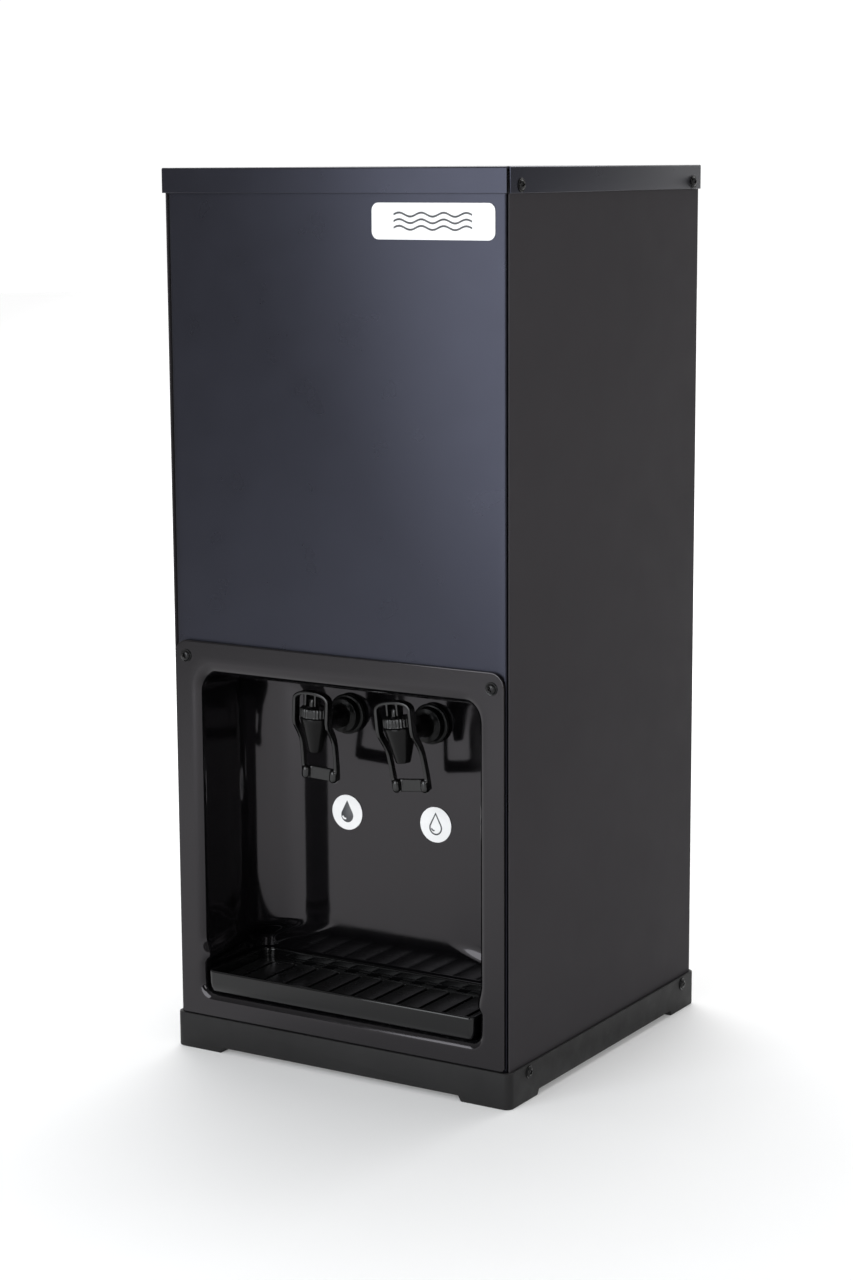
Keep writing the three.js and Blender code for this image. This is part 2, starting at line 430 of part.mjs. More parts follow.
// ---------------------------------------------------------------- shelf and chilled-water circuit
{
  let shelf = box(-155, 155, -142, 136, SHELF_Z, SHELF_Z + 1.5);
  for (const s of [-1, 1]) shelf = join(shelf, box(s > 0 ? 153.5 : -155, s > 0 ? 155 : -153.5, -142, 136, SHELF_Z - 14, SHELF_Z + 1));
  shelf = cut(shelf, cylZ(TANK.x, TANK.y, 10, SHELF_Z - 2, SHELF_Z + 4), cylZ(FILTER.x, FILTER.y, 10, SHELF_Z - 2, SHELF_Z + 4));
  node('mid_shelf', shelf, M.zinc);

  const bx = TANK.x, by = TANK.y;
  let foam = prismZ(rr(bx - 84, bx + 84, by - 84, by + 84, 16), SHELF_Z + 1.5 + GAP, 640);
  foam = cut(foam, cylZ(bx, by, 72, TANK.z0 - 5, 641, 20), cylZ(bx, by, 8, SHELF_Z, TANK.z0, 8));
  node('insulation_shell', foam, M.foam);

  const r = TANK.r;
  let tank = revolve([[0, TANK.z0 - 14], [5, TANK.z0 - 14], [5, TANK.z0], [r - 6, TANK.z0], [r, TANK.z0 + 6], [r, TANK.z1], [r - 1.5, TANK.z1], [r - 1.5, TANK.z0 + 7], [r - 7, TANK.z0 + 1.6], [0, TANK.z0 + 1.6]], 16);
  tank = cut(tank, cylZ(0, 0, 3, TANK.z0 - 16, TANK.z0 + 4, 8));
  node('cold_tank', tank.translate([bx, by, 0]), M.steel);
  let cap = revolve([[0, TANK.z1 + GAP], [r + 2, TANK.z1 + GAP], [r + 2, TANK.z1 + 4], [5, TANK.z1 + 5], [5, TANK.z1 + 16], [0, TANK.z1 + 16]], 16);
  cap = cut(cap, cylZ(0, 0, 3, TANK.z1 - 2, TANK.z1 + 20, 8));
  node('cold_tank_lid', cap.translate([bx, by, 0]), M.white);
  node('evaporator_coil', coil(r + 6, 3.2, TANK.z0 + 20, TANK.z0 + 130, 5, 5, 12).translate([bx, by, 0]), M.copper);
}
{
  const { x, y, r, z0, z1 } = FILTER;
  let can = revolve([[0, z0 - 8], [5, z0 - 8], [5, z0 + 2], [r - 6, z0 + 2], [r, z0 + 12], [r, z1], [r - 2, z1], [r - 2, z0 + 13], [r - 8, z0 + 4.5], [0, z0 + 4.5]], 14);
  can = cut(can, cylZ(0, 0, 3, z0 - 10, z0 + 8, 8));
  let head = revolve([[0, z1 - 0.5], [r + 2, z1 - 0.5], [r + 2, z1 + 14], [r - 6, z1 + 22], [5, z1 + 22], [5, z1 + 32], [0, z1 + 32]], 14);
  head = join(head, box(r - 4, BODY - SHEET - GAP - x, -12, 12, z1 + 4, z1 + 12), cylX(0, z1 + 8, 5, -r - 12, -r + 4, 10));
  head = cut(head, cylZ(0, 0, 3, z1 - 2, z1 + 40, 8), cylX(0, z1 + 8, 3, -r - 14, 0, 8));
  node('filter_cartridge', join(can, head).translate([x, y, 0]), M.white);
}
{
  let fit = join(cylY(0, 0, 8, REAR_Y - 13.7, REAR_Y + 14, 12), cylY(0, 0, 13, REAR_Y + GAP, REAR_Y + 5, 6));
  fit = cut(fit, cylY(0, 0, 4, REAR_Y - 16, REAR_Y + 16, 8));
  node('water_inlet', fit.translate([WATER_IN.x, 0, WATER_IN.z]), M.zinc);
}
const shankEnd = NICHE_BACK + 27.4;
node('inlet_hose', tube([[WATER_IN.x, REAR_Y - 14.4, WATER_IN.z], [WATER_IN.x + 3, 114, WATER_IN.z + 8], [-50, 104, 545], [20, 104, 610], [80, 84, 652], [FILTER.x, 40, 662], [FILTER.x, FILTER.y, 652], [FILTER.x, FILTER.y, FILTER.z1 + 32.4]], 3.5, 6, 18), M.hose);
node('tank_feed_hose', tube([[FILTER.x - FILTER.r - 12.8, FILTER.y, FILTER.z1 + 8], [59, FILTER.y, FILTER.z1 + 8.5], [45, 18, 640], [15, 10, 662], [-30, 2, 664], [TANK.x, TANK.y, 646], [TANK.x, TANK.y, TANK.z1 + 16.6]], 3.5, 6, 18), M.hose);
node('cold_hose', tube([[-TAP_X, shankEnd, TAP_Z], [-TAP_X - 1, -30, TAP_Z + 4], [TANK.x, -6, 310], [TANK.x, 0, 335], [TANK.x, 0, TANK.z0 - 14.4]], 3.5, 6, 12), M.hose);
node('natural_hose', tube([[TAP_X, shankEnd, TAP_Z], [TAP_X + 6, -30, TAP_Z + 3], [85, 5, 310], [FILTER.x, FILTER.y, 335], [FILTER.x, FILTER.y, FILTER.z0 - 8.4]], 3.5, 6, 12), M.hose);

// ---------------------------------------------------------------- refrigeration unit
{
  const { x, y, r, z0, z1 } = COMP;
  node('compressor_plate', prismZ(rr(-96, 96, y - 52, y + 52, 8), 15.3, 17.3, 3), M.zinc);
  let n = 0;
  for (const gx of [-84, 84]) for (const gy of [y - 42, y + 42]) {
    node(`rubber_foot_${++n}`, cylZ(gx, gy, 9, BASE_FLOOR + GAP, 15, 12), M.rubber);
  }
  const dome = [[0, z0]];
  for (const a of [0, 45, 90]) dome.push([r - 22 + 22 * Math.sin(a * Math.PI / 180), z0 + 22 - 22 * Math.cos(a * Math.PI / 180)]);
  dome.push([r, 82], [r + 3, 82], [r + 3, 86], [r, 86]);
  for (const a of [0, 30, 60, 90]) dome.push([r - 34 + 34 * Math.cos(a * Math.PI / 180), z1 - 34 + 34 * Math.sin(a * Math.PI / 180)]);
  dome.push([0, z1]);
  let pot = revolve(dome, 16);
  pot = join(pot, box(r - 12, r + 12, -18, 18, 100, 136), cylZ(-r - 2, 0, 3, 96, 120, 8), box(-r - 2, -r + 8, -3, 3, 96, 101));
  node('compressor', pot.translate([x, y, 0]), M.black_enamel);

  const pts = [];
  for (let i = 0; i < 6; i++) {
    const z = 190 + 24 * i, a = i % 2 ? 1 : -1;
    pts.push([a * 100, 130.5, z], [-a * 100, 130.5, z]);
    if (i < 5) pts.push([-a * 112, 130.5, z + 12]);
  }
  node('condenser_coil', tube(pts, 2.5, 4, 60), M.black_enamel);
}

// ---------------------------------------------------------------- thermostat and power inlet on the rear
{
  let body = join(box(KNOB.x - 20, KNOB.x + 20, 112, REAR_Y - SHEET - GAP, KNOB.z - 16, KNOB.z + 16), cylY(KNOB.x, KNOB.z, 3, REAR_Y - 5, REAR_Y + 12, 12));
  node('thermostat_body', body, M.white);
  let knob = join(cylY(0, 0, 15, REAR_Y + 0.8, REAR_Y + 5, 24), cylY(0, 0, 13, REAR_Y + 4.5, REAR_Y + 16, 24));
  knob = cut(knob, cylY(0, 0, 3.3, REAR_Y, REAR_Y + 12.4, 12), box(-16, -3, REAR_Y + 6, REAR_Y + 18, 2.5, 16), box(3, 16, REAR_Y + 6, REAR_Y + 18, 2.5, 16));
  node('thermostat_knob', knob.translate([KNOB.x, 0, KNOB.z]), M.base);

  let inlet = join(box(-14, 14, REAR_Y - 16, REAR_Y + 1, -10.5, 10.5), prismY(rr(-19, 19, -14, 14, 4), REAR_Y + GAP, REAR_Y + 3));
  inlet = cut(inlet, prismY(rr(-11.5, 11.5, -8, 8, 2), REAR_Y - 13, REAR_Y + 4, 2));
  node('power_inlet', inlet.translate([POWER_IN.x, 0, POWER_IN.z]), M.base);
}

export default machine;
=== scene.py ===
import bpy, bmesh, json, math
from mathutils import Matrix, Vector


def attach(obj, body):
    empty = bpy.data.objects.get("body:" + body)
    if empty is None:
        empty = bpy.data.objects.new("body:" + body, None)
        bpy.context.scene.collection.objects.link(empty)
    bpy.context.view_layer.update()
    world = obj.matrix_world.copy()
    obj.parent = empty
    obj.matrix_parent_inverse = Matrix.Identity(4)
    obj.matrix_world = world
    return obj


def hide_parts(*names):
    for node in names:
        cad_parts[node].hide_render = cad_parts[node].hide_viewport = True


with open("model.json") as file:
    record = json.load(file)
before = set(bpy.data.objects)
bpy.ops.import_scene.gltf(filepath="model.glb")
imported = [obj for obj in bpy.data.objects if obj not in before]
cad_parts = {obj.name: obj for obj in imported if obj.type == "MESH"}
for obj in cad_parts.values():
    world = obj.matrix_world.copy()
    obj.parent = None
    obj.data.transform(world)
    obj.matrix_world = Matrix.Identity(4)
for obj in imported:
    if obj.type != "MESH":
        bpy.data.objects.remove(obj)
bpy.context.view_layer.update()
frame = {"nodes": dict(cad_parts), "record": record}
pi = math.pi
MM = 0.001

# ------------------------------------------------------------------ colour management, world, camera
sc = bpy.context.scene
sc.view_settings.view_transform = "Standard"
sc.view_settings.look = "None"


def camera():
    az, pitch, roll = math.radians(31.65), math.radians(9.98), math.radians(-0.31)
    back = Vector((math.sin(az) * math.cos(pitch), -math.cos(az) * math.cos(pitch), math.sin(pitch)))
    right = Vector((math.cos(az), math.sin(az), 0))
    up = back.cross(right)
    r2 = math.cos(roll) * right + math.sin(roll) * up
    u2 = -math.sin(roll) * right + math.cos(roll) * up
    at = Vector((0.0852, -0.160, 0.3705)) + 2.118 * back
    cam = bpy.data.objects.new("camera", bpy.data.cameras.new("camera"))
    m = Matrix.Identity(4)
    for i in range(3):
        m[i][0], m[i][1], m[i][2], m[i][3] = r2[i], u2[i], back[i], at[i]
    cam.matrix_world = m
    cam.data.sensor_width = 36
    cam.data.lens = 2710 / 1280 * 36
    cam.data.clip_end = 60
    sc.collection.objects.link(cam)
    sc.camera = cam


camera()


def area(name, loc, target, sx, sy, power, color=(1, 1, 1)):
    light = bpy.data.lights.new(name, "AREA")
    light.shape = "RECTANGLE"
    light.size, light.size_y, light.energy, light.color = sx, sy, power, color
    o = bpy.data.objects.new(name, light)
    o.location = loc
    o.rotation_euler = (Vector(target) - Vector(loc)).to_track_quat("-Z", "Y").to_euler()
    o.visible_camera = False
    sc.collection.objects.link(o)
    return o


def build_world():
    w = bpy.data.worlds.new("studio")
    sc.world = w
    w.use_nodes = True
    nt = w.node_tree
    nt.nodes.clear()
    out = nt.nodes.new("ShaderNodeOutputWorld")
    bg = nt.nodes.new("ShaderNodeBackground")
    tc = nt.nodes.new("ShaderNodeTexCoord")
    sep = nt.nodes.new("ShaderNodeSeparateXYZ")
    nt.links.new(tc.outputs["Generated"], sep.inputs[0])
    # white behind the object on the left, dimmer to the right of it and in front
    def ramp(source, stops):
        m = nt.nodes.new("ShaderNodeMapRange")
        m.inputs["From Min"].default_value, m.inputs["From Max"].default_value = -1, 1
        nt.links.new(source, m.inputs["Value"])
        r = nt.nodes.new("ShaderNodeValToRGB")
        r.color_ramp.interpolation = "EASE"
        els = r.color_ramp.elements
        while len(els) < len(stops):
            els.new(0.5)
        for e, (at, v) in zip(els, stops):
            e.position, e.color = (at + 1) / 2, (v, v, v, 1)
        nt.links.new(m.outputs[0], r.inputs[0])
        return r.outputs["Color"]
    rx = ramp(sep.outputs["X"], ((-1.0, 0.8), (-0.6, 1.0), (-0.25, 1.0), (0.25, 0.5), (1.0, 0.5)))
    ry = ramp(sep.outputs["Y"], ((-1.0, 0.25), (-0.35, 0.38), (0.35, 1.0), (1.0, 1.0)))
    mul = nt.nodes.new("ShaderNodeMix")
    mul.data_type, mul.blend_type = "RGBA", "MULTIPLY"
    mul.inputs[0].default_value = 1
    nt.links.new(rx, mul.inputs[6])
    nt.links.new(ry, mul.inputs[7])
    bg.inputs["Strength"].default_value = 1.05
    nt.links.new(mul.outputs[2], bg.inputs["Color"])
    nt.links.new(bg.outputs[0], out.inputs[0])


build_world()
area("key_front", (-0.42, -2.5, 1.02), (0.0, -0.16, 0.75), 1.78, 2.0, 52, (0.94, 0.97, 1.0))
area("fill_right", (3.0, -0.6, 1.6), (0, 0, 0.4), 1.2, 1.8, 9)
area("fill_front_right", (2.05, -2.1, 1.1), (0.15, -0.1, 0.3), 0.7, 1.5, 13)
area("top_soft", (-0.5, 1.5, 2.7), (-0.1, 0.3, 0.2), 2.8, 2.2, 60)


# ------------------------------------------------------------------ procedural materials
def _noise(nt, vec, scale, detail=3.0, rough=0.55):
    n = nt.nodes.new("ShaderNodeTexNoise")
    n.inputs["Scale"].default_value = scale
    n.inputs["Detail"].default_value = detail
    n.inputs["Roughness"].default_value = rough
    nt.links.new(vec, n.inputs["Vector"])
    return n.outputs["Fac"]


def _range(nt, val, a, b, lo=0.3, hi=0.7):
    m = nt.nodes.new("ShaderNodeMapRange")
    m.inputs["From Min"].default_value, m.inputs["From Max"].default_value = lo, hi
    m.inputs["To Min"].default_value, m.inputs["To Max"].default_value = a, b
    nt.links.new(val, m.inputs["Value"])
    return m.outputs[0]


def material(name, lo, hi, rough=(0.4, 0.5), metal=0.0, spec=0.5, ior=1.5, mottle=9.0, grain=(900.0, 0.00002), wave=None, fine=None,
             coat=0.0, coat_rough=0.1, stretch=None, dust=0.0, tint=None, glow=0.0):
    """Two tones mottled at a large scale, roughness broken up with it, and up to three bump scales."""
    m = bpy.data.materials.new(name)
    m.use_nodes = True
    nt = m.node_tree
    b = nt.nodes["Principled BSDF"]
    tc = nt.nodes.new("ShaderNodeTexCoord")
    vec = tc.outputs["Object"]
    if stretch:
        mp = nt.nodes.new("ShaderNodeMapping")
        mp.inputs["Scale"].default_value = stretch
        nt.links.new(vec, mp.inputs["Vector"])
        vec = mp.outputs[0]
    big = _noise(nt, tc.outputs["Object"], mottle, 4.0, 0.6)
    mix = nt.nodes.new("ShaderNodeMix")
    mix.data_type = "RGBA"
    mix.inputs[6].default_value = (*lo, 1)
    mix.inputs[7].default_value = (*hi, 1)
    nt.links.new(_range(nt, big, 0, 1), mix.inputs[0])
    colour = mix.outputs[2]
    if dust:
        # fine pale specks and settled dust on faces that look up
        geo = nt.nodes.new("ShaderNodeNewGeometry")
        sep = nt.nodes.new("ShaderNodeSeparateXYZ")
        nt.links.new(geo.outputs["Normal"], sep.inputs[0])
        up = _range(nt, sep.outputs["Z"], 0.0, dust, 0.5, 1.0)
        speck = _noise(nt, tc.outputs["Object"], 260.0, 2.0, 0.7)
        mul = nt.nodes.new("ShaderNodeMath")
        mul.operation = "MULTIPLY"
        nt.links.new(up, mul.inputs[0])
        nt.links.new(_range(nt, speck, 0.0, 1.0, 0.45, 0.75), mul.inputs[1])
        mix2 = nt.nodes.new("ShaderNodeMix")
        mix2.data_type = "RGBA"
        mix2.inputs[7].default_value = (0.32, 0.31, 0.30, 1)
        nt.links.new(colour, mix2.inputs[6])
        nt.links.new(mul.outputs[0], mix2.inputs[0])
        colour = mix2.outputs[2]
    nt.links.new(colour, b.inputs["Base Color"])
    mid = _noise(nt, vec, mottle * 6, 3.0)
    nt.links.new(_range(nt, mid, rough[0], rough[1]), b.inputs["Roughness"])
    b.inputs["Metallic"].default_value = metal
    b.inputs["Specular IOR Level"].default_value = spec
    b.inputs["IOR"].default_value = ior
    if tint:
        b.inputs["Specular Tint"].default_value = (*tint, 1)
    if glow:
        # painted glow: the paper emits light of its own, more and more towards the back
        b.inputs["Emission Color"].default_value = (1, 1, 1, 1)
        dot = nt.nodes.new("ShaderNodeVectorMath")
        dot.operation = "DOT_PRODUCT"
        dot.inputs[1].default_value = (-0.55, 0.83, 0)
        nt.links.new(tc.outputs["Object"], dot.inputs[0])
        painted_glow_back = nt.nodes.new("ShaderNodeMapRange")
        painted_glow_back.interpolation_type = "SMOOTHSTEP"
        painted_glow_back.inputs["From Min"].default_value, painted_glow_back.inputs["From Max"].default_value = -0.1, 3.2
        painted_glow_back.inputs["To Min"].default_value, painted_glow_back.inputs["To Max"].default_value = 0.0, glow
        nt.links.new(dot.outputs["Value"], painted_glow_back.inputs["Value"])
        # painted glow a little around the object, and painted shade in front of it: there the glow fades and the
        # paper's colour is darkened
        ahead = nt.nodes.new("ShaderNodeVectorMath")
        ahead.operation = "DOT_PRODUCT"
        ahead.inputs[1].default_value = (-0.85, -0.53, 0)
        nt.links.new(tc.outputs["Object"], ahead.inputs[0])
        fade = nt.nodes.new("ShaderNodeMapRange")
        fade.interpolation_type = "SMOOTHSTEP"
        fade.inputs["From Min"].default_value, fade.inputs["From Max"].default_value = 0.9, 2.2
        fade.inputs["To Min"].default_value, fade.inputs["To Max"].default_value = 1.0, 0.62
        nt.links.new(ahead.outputs["Value"], fade.inputs["Value"])
        painted_glow_near = nt.nodes.new("ShaderNodeMath")
        painted_glow_near.operation = "MULTIPLY_ADD"
        painted_glow_near.inputs[1].default_value, painted_glow_near.inputs[2].default_value = 0.30, -0.14
        nt.links.new(fade.outputs[0], painted_glow_near.inputs[0])
        both = nt.nodes.new("ShaderNodeMath")
        both.operation = "ADD"
        nt.links.new(painted_glow_back.outputs[0], both.inputs[0])
        nt.links.new(painted_glow_near.outputs[0], both.inputs[1])
        nt.links.new(both.outputs[0], b.inputs["Emission Strength"])
        # painted shade: the paper's colour is multiplied down in front of the object
        painted_shade_tone = nt.nodes.new("ShaderNodeMix")
        painted_shade_tone.data_type, painted_shade_tone.blend_type = "RGBA", "MULTIPLY"
        painted_shade_tone.inputs[0].default_value = 1.0
        nt.links.new(colour, painted_shade_tone.inputs[6])
        nt.links.new(fade.outputs[0], painted_shade_tone.inputs[7])
        nt.links.new(painted_shade_tone.outputs[2], b.inputs["Base Color"])
    if coat:
        b.inputs["Coat Weight"].default_value = coat
        b.inputs["Coat Roughness"].default_value = coat_rough
    last = None
    for layer in (wave, grain, fine):
        if not layer:
            continue
        bump = nt.nodes.new("ShaderNodeBump")
        bump.inputs["Strength"].default_value = 1.0
        bump.inputs["Distance"].default_value = layer[1]
        nt.links.new(_noise(nt, vec, layer[0], 2.0, 0.5), bump.inputs["Height"])
        if last:
            nt.links.new(last, bump.inputs["Normal"])
        last = bump.outputs[0]
    if last:
        nt.links.new(last, b.inputs["Normal"])
    m.diffuse_color = (*hi, 1)
    return m


M = {
    "paint": material("cabinet_paint", (0.0046, 0.0044, 0.0052), (0.0062, 0.0060, 0.0070), (0.27, 0.30), spec=0.465, tint=(0.71, 0.74, 1.0), mottle=5, grain=(520, 0.000012), fine=(2600, 0.000004), dust=0.012),
    # painted light: a lighter, duller copy of the cabinet paint for the side and rear sheets, standing in for the light
    # that falls on them
    "paint_lit_copy": material("paint_lit_copy", (0.0398, 0.0374, 0.0400), (0.0442, 0.0416, 0.0445), (0.50, 0.58), spec=0.02, tint=(1.0, 0.95, 1.0), mottle=5, grain=(520, 0.000022), fine=(2600, 0.000006), dust=0.015),
    "niche": material("niche_plastic", (0.0018, 0.0017, 0.0020), (0.0028, 0.0026, 0.0030), (0.080, 0.110), spec=0.46, tint=(1.0, 0.95, 1.0), mottle=7, grain=(420, 0.000001), wave=(16, 0.00012), dust=0.02),
    "tray": material("tray_plastic", (0.0016, 0.0016, 0.0018), (0.0026, 0.0026, 0.0028), (0.07, 0.10), spec=0.40, mottle=14, grain=(700, 0.000003), wave=(40, 0.00003), dust=0.02),
    "grid": material("grid_plastic", (0.0040, 0.0040, 0.0042), (0.0060, 0.0060, 0.0062), (0.26, 0.33), spec=0.22, mottle=14, grain=(900, 0.000008), dust=0.01),
    "tap": material("tap_plastic", (0.0018, 0.0018, 0.0018), (0.0028, 0.0028, 0.0028), (0.14, 0.20), spec=0.46, mottle=40, grain=(1500, 0.000004), wave=(90, 0.00003)),
    # painted shade: a duller copy of the tap plastic (lower specular, rougher) so the barrel and flange read as shaded
    "tap_body": material("tap_plastic_shaded_copy", (0.0018, 0.0018, 0.0018), (0.0028, 0.0028, 0.0028), (0.20, 0.27), spec=0.17, mottle=40, grain=(1500, 0.000004), wave=(90, 0.00003)),
    "base": material("base_plastic", (0.0085, 0.0083, 0.0085), (0.0125, 0.0121, 0.0123), (0.48, 0.58), spec=0.22, mottle=12, grain=(1500, 0.00004), fine=(4200, 0.000015), dust=0.04),
    "screw": material("black_screw", (0.0024, 0.0024, 0.0026), (0.0040, 0.0040, 0.0042), (0.14, 0.20), spec=0.28, mottle=160, grain=(3000, 0.000006)),
    "rubber": material("rubber", (0.008, 0.008, 0.008), (0.012, 0.012, 0.012), (0.65, 0.8), spec=0.3, mottle=60, grain=(2000, 0.00003)),
    "zinc": material("zinc_steel", (0.46, 0.47, 0.48), (0.60, 0.61, 0.62), (0.30, 0.42), metal=1.0, mottle=45, grain=(400, 0.00001)),
    "steel": material("stainless", (0.55, 0.56, 0.57), (0.66, 0.66, 0.67), (0.18, 0.30), metal=1.0, mottle=30, grain=(600, 0.00001), stretch=(1, 1, 14)),
    "copper": material("copper", (0.55, 0.27, 0.16), (0.72, 0.40, 0.26), (0.24, 0.4), metal=1.0, mottle=60, grain=(900, 0.00001)),
    "white": material("white_plastic", (0.70, 0.70, 0.68), (0.80, 0.80, 0.78), (0.38, 0.48), mottle=20, grain=(1200, 0.00001)),
    "label": material("label_white", (0.78, 0.78, 0.78), (0.84, 0.84, 0.84), (0.30, 0.38), mottle=30, grain=(1600, 0.000003)),
    "print": material("print_grey", (0.040, 0.042, 0.046), (0.055, 0.057, 0.062), (0.32, 0.4), mottle=80, grain=(1600, 0.000003)),
    "foam": material("foam", (0.70, 0.67, 0.58), (0.82, 0.80, 0.72), (0.8, 0.95), mottle=35, grain=(350, 0.0004)),
    "hose": material("hose", (0.66, 0.69, 0.72), (0.78, 0.80, 0.82), (0.25, 0.35), mottle=30, grain=(1200, 0.00001)),
    "enamel": material("black_enamel", (0.008, 0.008, 0.009), (0.014, 0.014, 0.016), (0.22, 0.35), mottle=24, grain=(300, 0.00003)),
    "brass": material("brass_pin", (0.62, 0.48, 0.22), (0.72, 0.58, 0.30), (0.2, 0.3), metal=1.0, mottle=90, grain=(2000, 0.00001)),
}
SLOT_MAT = {
    "cabinet_paint": "paint", "niche_plastic": "niche", "tray_plastic": "tray", "tap_plastic": "tap", "base_plastic": "base", "rubber": "rubber",
    "black_screw": "screw", "zinc_steel": "zinc", "stainless": "steel", "copper": "copper", "white_plastic": "white", "label_white": "label",
    "foam": "foam", "hose": "hose", "black_enamel": "enamel",
}
slot_of = {s["node"]: s["material_slot"] for s in frame["record"]["subparts"]}


# ------------------------------------------------------------------ mesh helpers (all sizes in millimetres)
def finish_mesh(me, angle=38):
    for p in me.polygons:
        p.use_smooth = True
    me.set_sharp_from_angle(angle=math.radians(angle))
    return me


def piece(name, bm, mat, body="cabinet", nodes=(), angle=38, matrix=None):
    """Turns a bmesh in millimetres into a riding piece of the object in metres."""
    bmesh.ops.remove_doubles(bm, verts=bm.verts, dist=1e-4)
    bmesh.ops.recalc_face_normals(bm, faces=bm.faces)
    me = bpy.data.meshes.new(name)
    if matrix is not None:
        bm.transform(matrix)
    bm.transform(Matrix.Scale(MM, 4))
    bm.to_mesh(me)
    bm.free()
    finish_mesh(me, angle)
    me.materials.append(M[mat])
    o = bpy.data.objects.new(name, me)
    sc.collection.objects.link(o)
    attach(o, body)
    if nodes:
        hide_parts(*nodes)
    return o


def bm_obj(bm, name="tmp"):
    bmesh.ops.remove_doubles(bm, verts=bm.verts, dist=1e-4)
    bmesh.ops.recalc_face_normals(bm, faces=bm.faces)
    me = bpy.data.meshes.new(name)
    bm.to_mesh(me)
    bm.free()
    o = bpy.data.objects.new(name, me)
    sc.collection.objects.link(o)
    return o


def evaluated(o):
    """bmesh of the object with its modifiers applied; the temporary object is removed."""
    bpy.context.view_layer.update()
    dg = bpy.context.evaluated_depsgraph_get()
    me = bpy.data.meshes.new_from_object(o.evaluated_get(dg))
    bm = bmesh.new()
    bm.from_mesh(me)
    bpy.data.meshes.remove(me)
    old = o.data
    bpy.data.objects.remove(o)
    if old.users == 0:
        (bpy.data.curves if isinstance(old, bpy.types.Curve) else bpy.data.meshes).remove(old)
    return bm


def boolean(bm, cutters, op="DIFFERENCE"):
    o = bm_obj(bm)
    others = []
    for c in cutters:
        co = bm_obj(c, "cutter")
        others.append(co)
        mod = o.modifiers.new("b", "BOOLEAN")
        mod.operation, mod.solver, mod.object = op, "EXACT", co
    out = evaluated(o)
    for co in others:
        me = co.data
        bpy.data.objects.remove(co)
        bpy.data.meshes.remove(me)
    return out


def bevelled(bm, width, segments=2, angle=40):
    o = bm_obj(bm)
    mod = o.modifiers.new("bev", "BEVEL")
    mod.width, mod.segments, mod.limit_method, mod.angle_limit = width, segments, "ANGLE", math.radians(angle)
    mod.use_clamp_overlap = True
    return evaluated(o)


def joined(*bms):
    out = bmesh.new()
    for b in bms:
        me = bpy.data.meshes.new("t")
        bmesh.ops.recalc_face_normals(b, faces=b.faces)
        b.to_mesh(me)
        b.free()
        out.from_mesh(me)
        bpy.data.meshes.remove(me)
    return out


def skin(rings, cap0=True, cap1=True, closed=True):
    """Closed skin through rings of equal length."""
    bm = bmesh.new()
    vs = [[bm.verts.new(p) for p in r] for r in rings]
    n = len(rings[0])
    for a, b in zip(vs, vs[1:]):
        for i in range(n):
            j = (i + 1) % n
            bm.faces.new((a[i], a[j], b[j], b[i]))
    if cap0:
        bm.faces.new(list(reversed(vs[0])))
    if cap1:
        bm.faces.new(vs[-1])
    return bm


def lathe(profile, seg=48, wobble=None):
    """Solid of revolution about Z; profile is [r, z] from axis to axis or closed on itself."""
    on_axis = profile[0][0] < 1e-6
    bm = bmesh.new()
    cols = []
    for k in range(seg):
        a = 2 * pi * k / seg
        col = []
        for i, (r, z) in enumerate(profile):
            rr_ = r + (wobble(a, i, r, z) if wobble else 0)
            col.append((rr_ * math.cos(a), rr_ * math.sin(a), z))
        cols.append(col)
    start = 1 if on_axis else 0
    end = len(profile) - 1 if on_axis else len(profile)
    vs = [[bm.verts.new(c[i]) for i in range(start, end)] for c in cols]
    m = end - start
    for k in range(seg):
        a, b = vs[k], vs[(k + 1) % seg]
        for i in range(m - 1):
            bm.faces.new((a[i], b[i], b[i + 1], a[i + 1]))
        if not on_axis:
            bm.faces.new((a[m - 1], b[m - 1], b[0], a[0]))
    if on_axis:
        bm.faces.new([v[0] for v in reversed(vs)])
        bm.faces.new([v[-1] for v in vs])
    return bm


def along(bm, axis, x=0, y=0, z=0):
    """Turns a piece drawn about Z so that +Z points along axis, then moves it."""
    q = Vector((0, 0, 1)).rotation_difference(Vector(axis)).to_matrix().to_4x4()
    bm.transform(Matrix.Translation((x, y, z)) @ q)
    return bm


def rrect(x0, x1, y0, y1, r, seg=6):
    """Rounded rectangle outline; r is one radius or (low-left, low-right, high-right, high-left)."""
    a, b, c, d = r if isinstance(r, (tuple, list)) else (r,) * 4
    out = []
    for cx, cy, q, s in ((x0 + a, y0 + a, a, pi), (x1 - b, y0 + b, b, 1.5 * pi), (x1 - c, y1 - c, c, 0), (x0 + d, y1 - d, d, 0.5 * pi)):
        n = seg if q > 0 else 0
        for i in range(n + 1):
            t = s + (i / n if n else 0) * pi / 2
            out.append((cx + q * math.cos(t), cy + q * math.sin(t)))
    return out


def plate(loops, thick, bevel=0.3, res=2):
    """Flat plate in XY from an outline and hole outlines, rounded edges, z from 0 to thick."""
    cu = bpy.data.curves.new("plate", "CURVE")
    cu.dimensions = "2D"
    cu.fill_mode = "BOTH"
    cu.extrude = thick / 2 - bevel
    cu.bevel_depth = bevel
    cu.bevel_resolution = res
    cu.offset = -bevel
    for loop in loops:
        sp = cu.splines.new("POLY")
        sp.points.add(len(loop) - 1)
        for p, (x, y) in zip(sp.points, loop):
            p.co = (x, y, 0, 1)
        sp.use_cyclic_u = True
    o = bpy.data.objects.new("plate", cu)
    sc.collection.objects.link(o)
    bm = evaluated(o)
    bmesh.ops.remove_doubles(bm, verts=bm.verts, dist=1e-3)
    bmesh.ops.dissolve_degenerate(bm, edges=bm.edges, dist=1e-4)
    bmesh.ops.recalc_face_normals(bm, faces=bm.faces)
    bm.transform(Matrix.Translation((0, 0, thick / 2)))
    return bm


